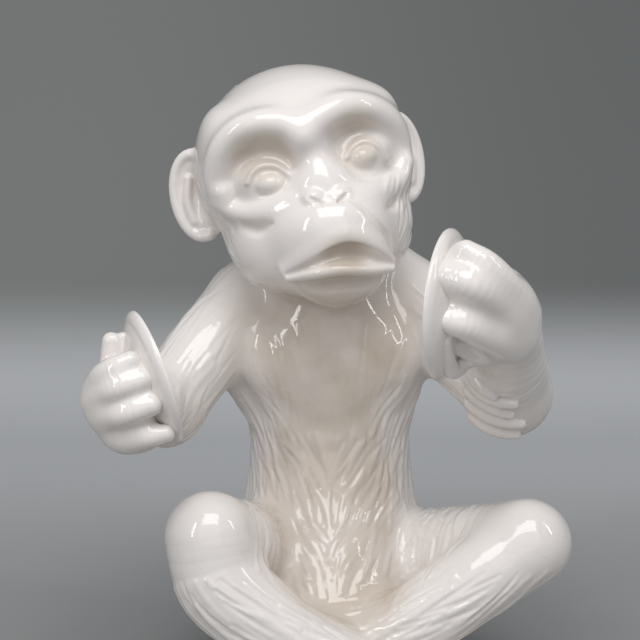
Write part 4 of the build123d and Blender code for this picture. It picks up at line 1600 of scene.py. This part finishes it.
class MONKEY_OT_stage(bpy.types.Operator):
    """Set up the paper sweep, the lamps, the world and the camera"""

    bl_idname = "monkey.stage"
    bl_label = "Stage"

    def execute(self, context):
        scene = context.scene
        studio_plan(backdrop_finish())
        for name, place, target, width, height, power in LAMPS:
            lamp = bpy.data.lights.new(name, "AREA")
            lamp.shape = "RECTANGLE"
            lamp.size, lamp.size_y = width, height
            lamp.energy = power
            stand = bpy.data.objects.new(name, lamp)
            scene.collection.objects.link(stand)
            aim(stand, place, target)
        world = bpy.data.worlds.new("studio_air")
        world.use_nodes = True
        air = world.node_tree.nodes["Background"]
        air.inputs["Color"].default_value = WORLD_COLOUR
        air.inputs["Strength"].default_value = WORLD_STRENGTH
        scene.world = world
        lens = bpy.data.cameras.new("photo_camera")
        lens.sensor_width = CAMERA_SENSOR
        lens.lens = CAMERA_LENS
        lens.clip_start = CAMERA_NEAR
        camera = bpy.data.objects.new("photo_camera", lens)
        scene.collection.objects.link(camera)
        aim(camera, CAMERA_PLACE, CAMERA_TARGET)
        scene.camera = camera
        scene.view_settings.view_transform = "Standard"
        return {"FINISHED"}


OPERATORS = (
    MONKEY_OT_torso,
    MONKEY_OT_head,
    MONKEY_OT_ears,
    MONKEY_OT_arms,
    MONKEY_OT_hands,
    MONKEY_OT_legs,
    MONKEY_OT_feet,
    MONKEY_OT_cymbals,
    MONKEY_OT_stage,
)


class MONKEY_PT_panel(bpy.types.Panel):
    """Lists the settings and the pieces"""

    bl_idname = "MONKEY_PT_panel"
    bl_label = "Glazed monkey"
    bl_space_type = "VIEW_3D"
    bl_region_type = "UI"
    bl_category = "Monkey"

    def draw(self, context):
        for name, group in GROUPS.items():
            box = self.layout.box()
            box.label(text=group.bl_rna.name)
            for key in group.__annotations__:
                box.prop(getattr(context.scene, name), key)
        for operator in OPERATORS:
            self.layout.operator(operator.bl_idname)


def register():
    for group in GROUPS.values():
        bpy.utils.register_class(group)
    for operator in OPERATORS:
        bpy.utils.register_class(operator)
    bpy.utils.register_class(MONKEY_PT_panel)
    for name, group in GROUPS.items():
        setattr(bpy.types.Scene, name, PointerProperty(type=group))


def unregister():
    for name in GROUPS:
        delattr(bpy.types.Scene, name)
    bpy.utils.unregister_class(MONKEY_PT_panel)
    for operator in reversed(OPERATORS):
        bpy.utils.unregister_class(operator)
    for group in reversed(list(GROUPS.values())):
        bpy.utils.unregister_class(group)


def corners(box):
    return [[float(value) for value in corner] for corner in box]


def main():
    register()
    for operator in OPERATORS:
        group, call = operator.bl_idname.split(".")
        getattr(getattr(bpy.ops, group), call)()


if __name__ == "__main__":
    main()
